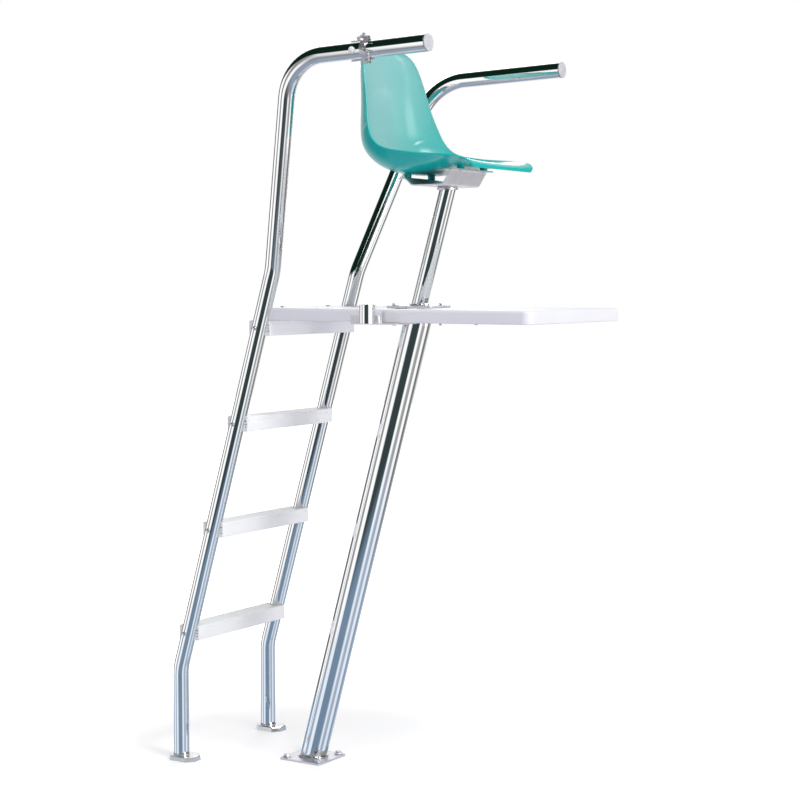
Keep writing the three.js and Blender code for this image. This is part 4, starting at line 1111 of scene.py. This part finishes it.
deselect()
bpy.ops.mesh.primitive_grid_add(x_subdivisions=shell_columns, y_subdivisions=last_row, size=2.0)
shell = bpy.context.object
on_rim = []
for count, index in enumerate(sorted(range(len(shell.data.vertices)), key=row_and_column)):
    row, column = divmod(count, shell_columns + 1)
    shell.data.vertices[index].co = grid[row][column]
    if row in (0, last_row) or column in (0, shell_columns):
        on_rim.append(index)
shell.vertex_groups.new(name="rim").add(on_rim, 1.0, "REPLACE")
edit_mode("FACE")
bpy.ops.mesh.select_all(action="SELECT")
bpy.ops.mesh.normals_make_consistent(inside=False)
object_mode()
thin = shell_sheet / shell_rim
apply_modifier(
    shell, "SOLIDIFY", thickness=shell_rim, offset=0.0, vertex_group="rim", thickness_vertex_group=thin
)
apply_modifier(shell, "SUBSURF", levels=2, render_levels=2)
shell.vertex_groups.clear()
for (across, back, height), boss_top in zip(bolt_seats, boss_tops):
    place = (across, back)
    low = height + bracket_sheet / 2 + touch_gap
    boss = upright_rod(place, low, boss_top, boss_radius)
    cut(boss, upright_rod(place, low - overrun, low + boss_bore, seat_bolt["shank"] + hole_play, 20))
    weld_on(shell, boss)

# Where the pale inner tone shows, on the side that faces the sitter. Its paleness is partly the moulding's
# own and partly painted sheen, a whitish haze of reflected light, and low on the flanks it sinks back to
# the deep tone as painted shade.
shade = shell.data.attributes.new("sheen_and_shade_share", "FLOAT", "POINT")
for vertex, item in zip(shell.data.vertices, shade.data):
    facing = vertex.normal.dot((sitter_middle - vertex.co).normalized())
    inside = min(max(facing * facing_gain + edge_on_share, 0.0), 1.0)
    flank_shade = max(abs(vertex.co.x) - flank_shade_start, 0.0) * (flank_shade_top - vertex.co.z) * flank_shade_gain
    item.value = inside * (1.0 - min(flank_shade, flank_shade_most))

teal_shell, nodes, links = node_material("teal_shell")
place = nodes.new("ShaderNodeTexCoord")
split = nodes.new("ShaderNodeSeparateXYZ")
links.new(place.outputs["Object"], split.inputs["Vector"])
sheen_and_shade_share = nodes.new("ShaderNodeAttribute")
sheen_and_shade_share.attribute_name = "sheen_and_shade_share"
cloud = noise(scale=5, detail=4)
# Deep teal outside and pale teal inside; the inner tone's paleness is partly painted sheen.
outer = tones(cloud, dark=(0.004, 0.46, 0.42, 1.0), light=(0.008, 0.51, 0.47, 1.0))
inner = tones(cloud, dark=(0.25, 0.525, 0.515, 1.0), light=(0.29, 0.56, 0.55, 1.0))
tone = blend_colours(sheen_and_shade_share.outputs["Fac"], outer, inner)
lobe = math_node("SUBTRACT", math_node("ABSOLUTE", split.outputs["X"]), crease_side)
rise = math_node("MULTIPLY", math_node("MULTIPLY", lobe, lobe), crease_curve)
depth_below = math_node("SUBTRACT", math_node("ADD", rise, crease_height), split.outputs["Z"])
crease = bumps(change_over(depth_below, (-crease_width, crease_width)), depth=crease_step)
gloss = between(noise(scale=12, detail=5), low=0.16, high=0.22)
surface(tone, gloss, bumps(noise(scale=420, detail=4), depth=0.00003, onto=crease), specular=0.26)
finish(shell, "seat_shell", teal_shell, "seat", smooth=50)

# Arm ends: a light grey plastic cap with a domed face and a hollow plug, moulded in one.
# The plug is pushed into the open end of each arm.
cap_flange = 0.0025
cap_dome = 0.003
cap_round = 0.0024
cap_plug = 0.018
cap_play = 0.0012
cap_skin = 0.003
plug_radius = rail_radius - rail_wall - cap_play
for side, hand in hands:
    along = (arm_at(side, arm_front) - arm_at(side, 0.0)).normalized()
    seat = arm_at(side, arm_front) + along * touch_gap
    cap = round_rod(seat, seat + along * (cap_flange + cap_dome), rail_radius, 56)
    ease_edges(cap, cap_round, 5, 60)
    weld_on(cap, round_rod(seat - along * cap_plug, seat + along * cap_flange / 2, plug_radius, 48))
    cut(cap, round_rod(seat - along * (cap_plug + overrun), seat, plug_radius - cap_skin, 48))
    finish(cap, f"arm_cap_{hand}", grey_plastic)

# Umbrella clamp on the right arm: a stainless saddle inside with a ring for the pole, a narrow band
# outside with a hooked rod, a wing screw above, a bolt below and a white capped screw through the arm.
clamp_wall = 0.004
clamp_back = 0.41198
clamp_front = 0.47598
clamp_forward = 0.46498
clamp_width = 0.017
clamp_ease = 0.0006
clamp_room = 0.1
ear_height = 0.009
ear_thick = 0.005
ear_split = 0.0005
clamp_bolt_height = 0.033
clamp_screw_forward = 0.42998
pole_wall = 0.0045
pole_half = 0.016
bridge_half = 0.012
wing_reach = 0.010
wing_radius = 0.0052
wing_hub = 0.0036
wing_thick = 0.0035
wing_neck = 0.020
wing_turn = -0.5
wing_ease = 0.0010
tip_stand = 0.0008
band_ease = 0.0005
hook_rod = 0.0025
hook_out = 0.005
hook_forward = 0.026
hook_drop = 0.033
clamp_bolt = {"shank": 0.0025, "head": 0.0046, "height": 0.0035}
cap_screw_length = rail_radius * 2 + touch_gap * 2 + clamp_wall / 2
cap_screw = {"shank": 0.004, "head": 0.010, "height": 0.008, "length": cap_screw_length}
clamp_outer = rail_radius + clamp_wall + touch_gap
ear_outer = ear_split + ear_thick
arm_tip = math.atan(arm_rise)


def onto_arm(piece):
    """Turns a piece made about the middle of the arm to the arm's rise and sets it in place."""
    piece.rotation_euler = (-arm_tip, 0.0, 0.0)
    piece.location = arm_at(-1, clamp_forward)
    settle(piece)


def ahead(across, forward, height):
    return Vector((across, -forward, height))


def cross_rod(start, end, height, radius, sides):
    """A round bar across the arm, at a height above its middle."""
    return round_rod((start, 0, height), (end, 0, height), radius, sides)


def ears(side):
    """The flat ears of one half of the clamp, above and below the arm."""
    near, far = sorted((side * ear_split, side * ear_outer))
    reach = rail_radius + clamp_wall / 2
    top = clamp_bolt_height + ear_height / 2
    half = clamp_width / 2
    spans = ((reach, top), (-top, -reach))
    return [box_between((near, -half, low), (far, half, high)) for low, high in spans]


def half_ring(side, back, front):
    """The half of a ring round the arm that lies on one side of the split."""
    ring = round_rod(ahead(0, back, 0), ahead(0, front, 0), clamp_outer, 64)
    near, far = sorted((side * ear_split, -side * clamp_room))
    cut(ring, box_between((near, -clamp_room, -clamp_room), (far, clamp_room, clamp_room)))
    return ring


def drill_ears(piece):
    for height in (clamp_bolt_height, -clamp_bolt_height):
        cut(piece, cross_rod(-overrun, overrun, height, clamp_bolt["shank"] + hole_play, 24))


saddle = half_ring(1, clamp_back - clamp_forward, clamp_front - clamp_forward)
weld_on(saddle, *ears(1))
drill_ears(saddle)
onto_arm(saddle)
pole_height = arm_at(-1, -pole_at.y).z
pole_low, pole_high = pole_height - pole_half, pole_height + pole_half
bridge_low = (-arm_half, pole_at.y - bridge_half, pole_height - bridge_half)
bridge = box_between(bridge_low, (pole_at.x, pole_at.y + bridge_half, pole_height + bridge_half))
weld_on(saddle, bridge, upright_rod(pole_at, pole_low, pole_high, sleeve_bore + pole_wall, 64))
cut(saddle, upright_rod(pole_at, pole_low - overrun, pole_high + overrun, sleeve_bore, 64))
arm_start, arm_end = arm_at(-1, clamp_back - overrun), arm_at(-1, clamp_front + overrun)
cut(saddle, round_rod(arm_start, arm_end, rail_radius + touch_gap, 64))
ease_edges(saddle, clamp_ease, 2, 40)
finish_fastening(saddle, "clamp_saddle")

band = half_ring(-1, -clamp_width / 2, clamp_width / 2)
weld_on(band, *ears(-1))
drill_ears(band)
cut(band, round_rod(ahead(0, -overrun, 0), ahead(0, overrun, 0), rail_radius + touch_gap, 64))
ease_edges(band, band_ease, 2, 40)
hook_path = [
    ahead(-clamp_outer + clamp_wall / 2, 0, 0), ahead(-clamp_outer - hook_out, 0, -hook_rod),
    ahead(-clamp_outer - hook_out, hook_forward, -hook_drop / 2),
    ahead(-clamp_outer - hook_out, hook_forward, -hook_drop - hook_out),
]
weld_on(band, bent_tube(hook_path, (hook_rod, hook_out), hook_rod, 0.0, 20, 6))
onto_arm(band)
finish_fastening(band, "clamp_band")

face = ear_outer + touch_gap
neck = -(face + wing_neck)
tip = ear_outer * 2 + tip_stand - face
wing = cross_rod(tip, neck - wing_thick, clamp_bolt_height, clamp_bolt["shank"], 24)
collar = cross_rod(-face, neck - wing_thick, clamp_bolt_height, wing_hub, 32)
ease_edges(collar, clamp_ease, 3, 60)
weld_on(wing, collar)
for sign in (-1, 1):
    shift = Vector((0, math.cos(wing_turn), math.sin(wing_turn))) * sign * wing_reach
    start = Vector((neck, 0, clamp_bolt_height)) + shift
    disc = round_rod(start, start - Vector((wing_thick, 0, 0)), wing_radius, 32)
    ease_edges(disc, wing_ease, 3, 60)
    web_half = Vector((0, wing_reach / 2, clamp_bolt["shank"]))
    web = box_between(Vector((neck - wing_thick, 0, 0)) - web_half, Vector((neck, 0, 0)) + web_half)
    web.rotation_euler = (wing_turn, 0, 0)
    web.location = Vector((0, 0, clamp_bolt_height)) + shift / 2
    settle(web)
    weld_on(wing, disc, web)
onto_arm(wing)
finish_fastening(wing, "clamp_wing_screw", "wing_screw")

lower_bolt = upright_rod((0, 0), 0.0, clamp_bolt["height"], clamp_bolt["head"], 6)
ease_edges(lower_bolt, clamp_ease)
lower_end = -ear_outer * 2 - tip_stand
weld_on(lower_bolt, upright_rod((0, 0), lower_end, clamp_bolt["height"] / 2, clamp_bolt["shank"], 20))
lower_bolt.rotation_euler = (0, -math.pi / 2, 0)
lower_bolt.location = (-face, 0, -clamp_bolt_height)
settle(lower_bolt)
onto_arm(lower_bolt)
finish_fastening(lower_bolt, "clamp_lower_bolt")

white_cap, nodes, links = node_material("white_cap")
tone = tones(noise(scale=80, detail=3), dark=(0.80, 0.80, 0.80, 1.0), light=(0.90, 0.90, 0.89, 1.0))
rough = between(noise(scale=200, detail=3), low=0.3, high=0.42)
surface(tone, rough, bumps(noise(scale=1200, detail=2), depth=0.00003))
seat = arm_at(-1, clamp_screw_forward) - Vector((rail_radius + touch_gap, 0, 0))
finish(round_head(seat, (-1, 0, 0), cap_screw), "clamp_cap_screw", white_cap)
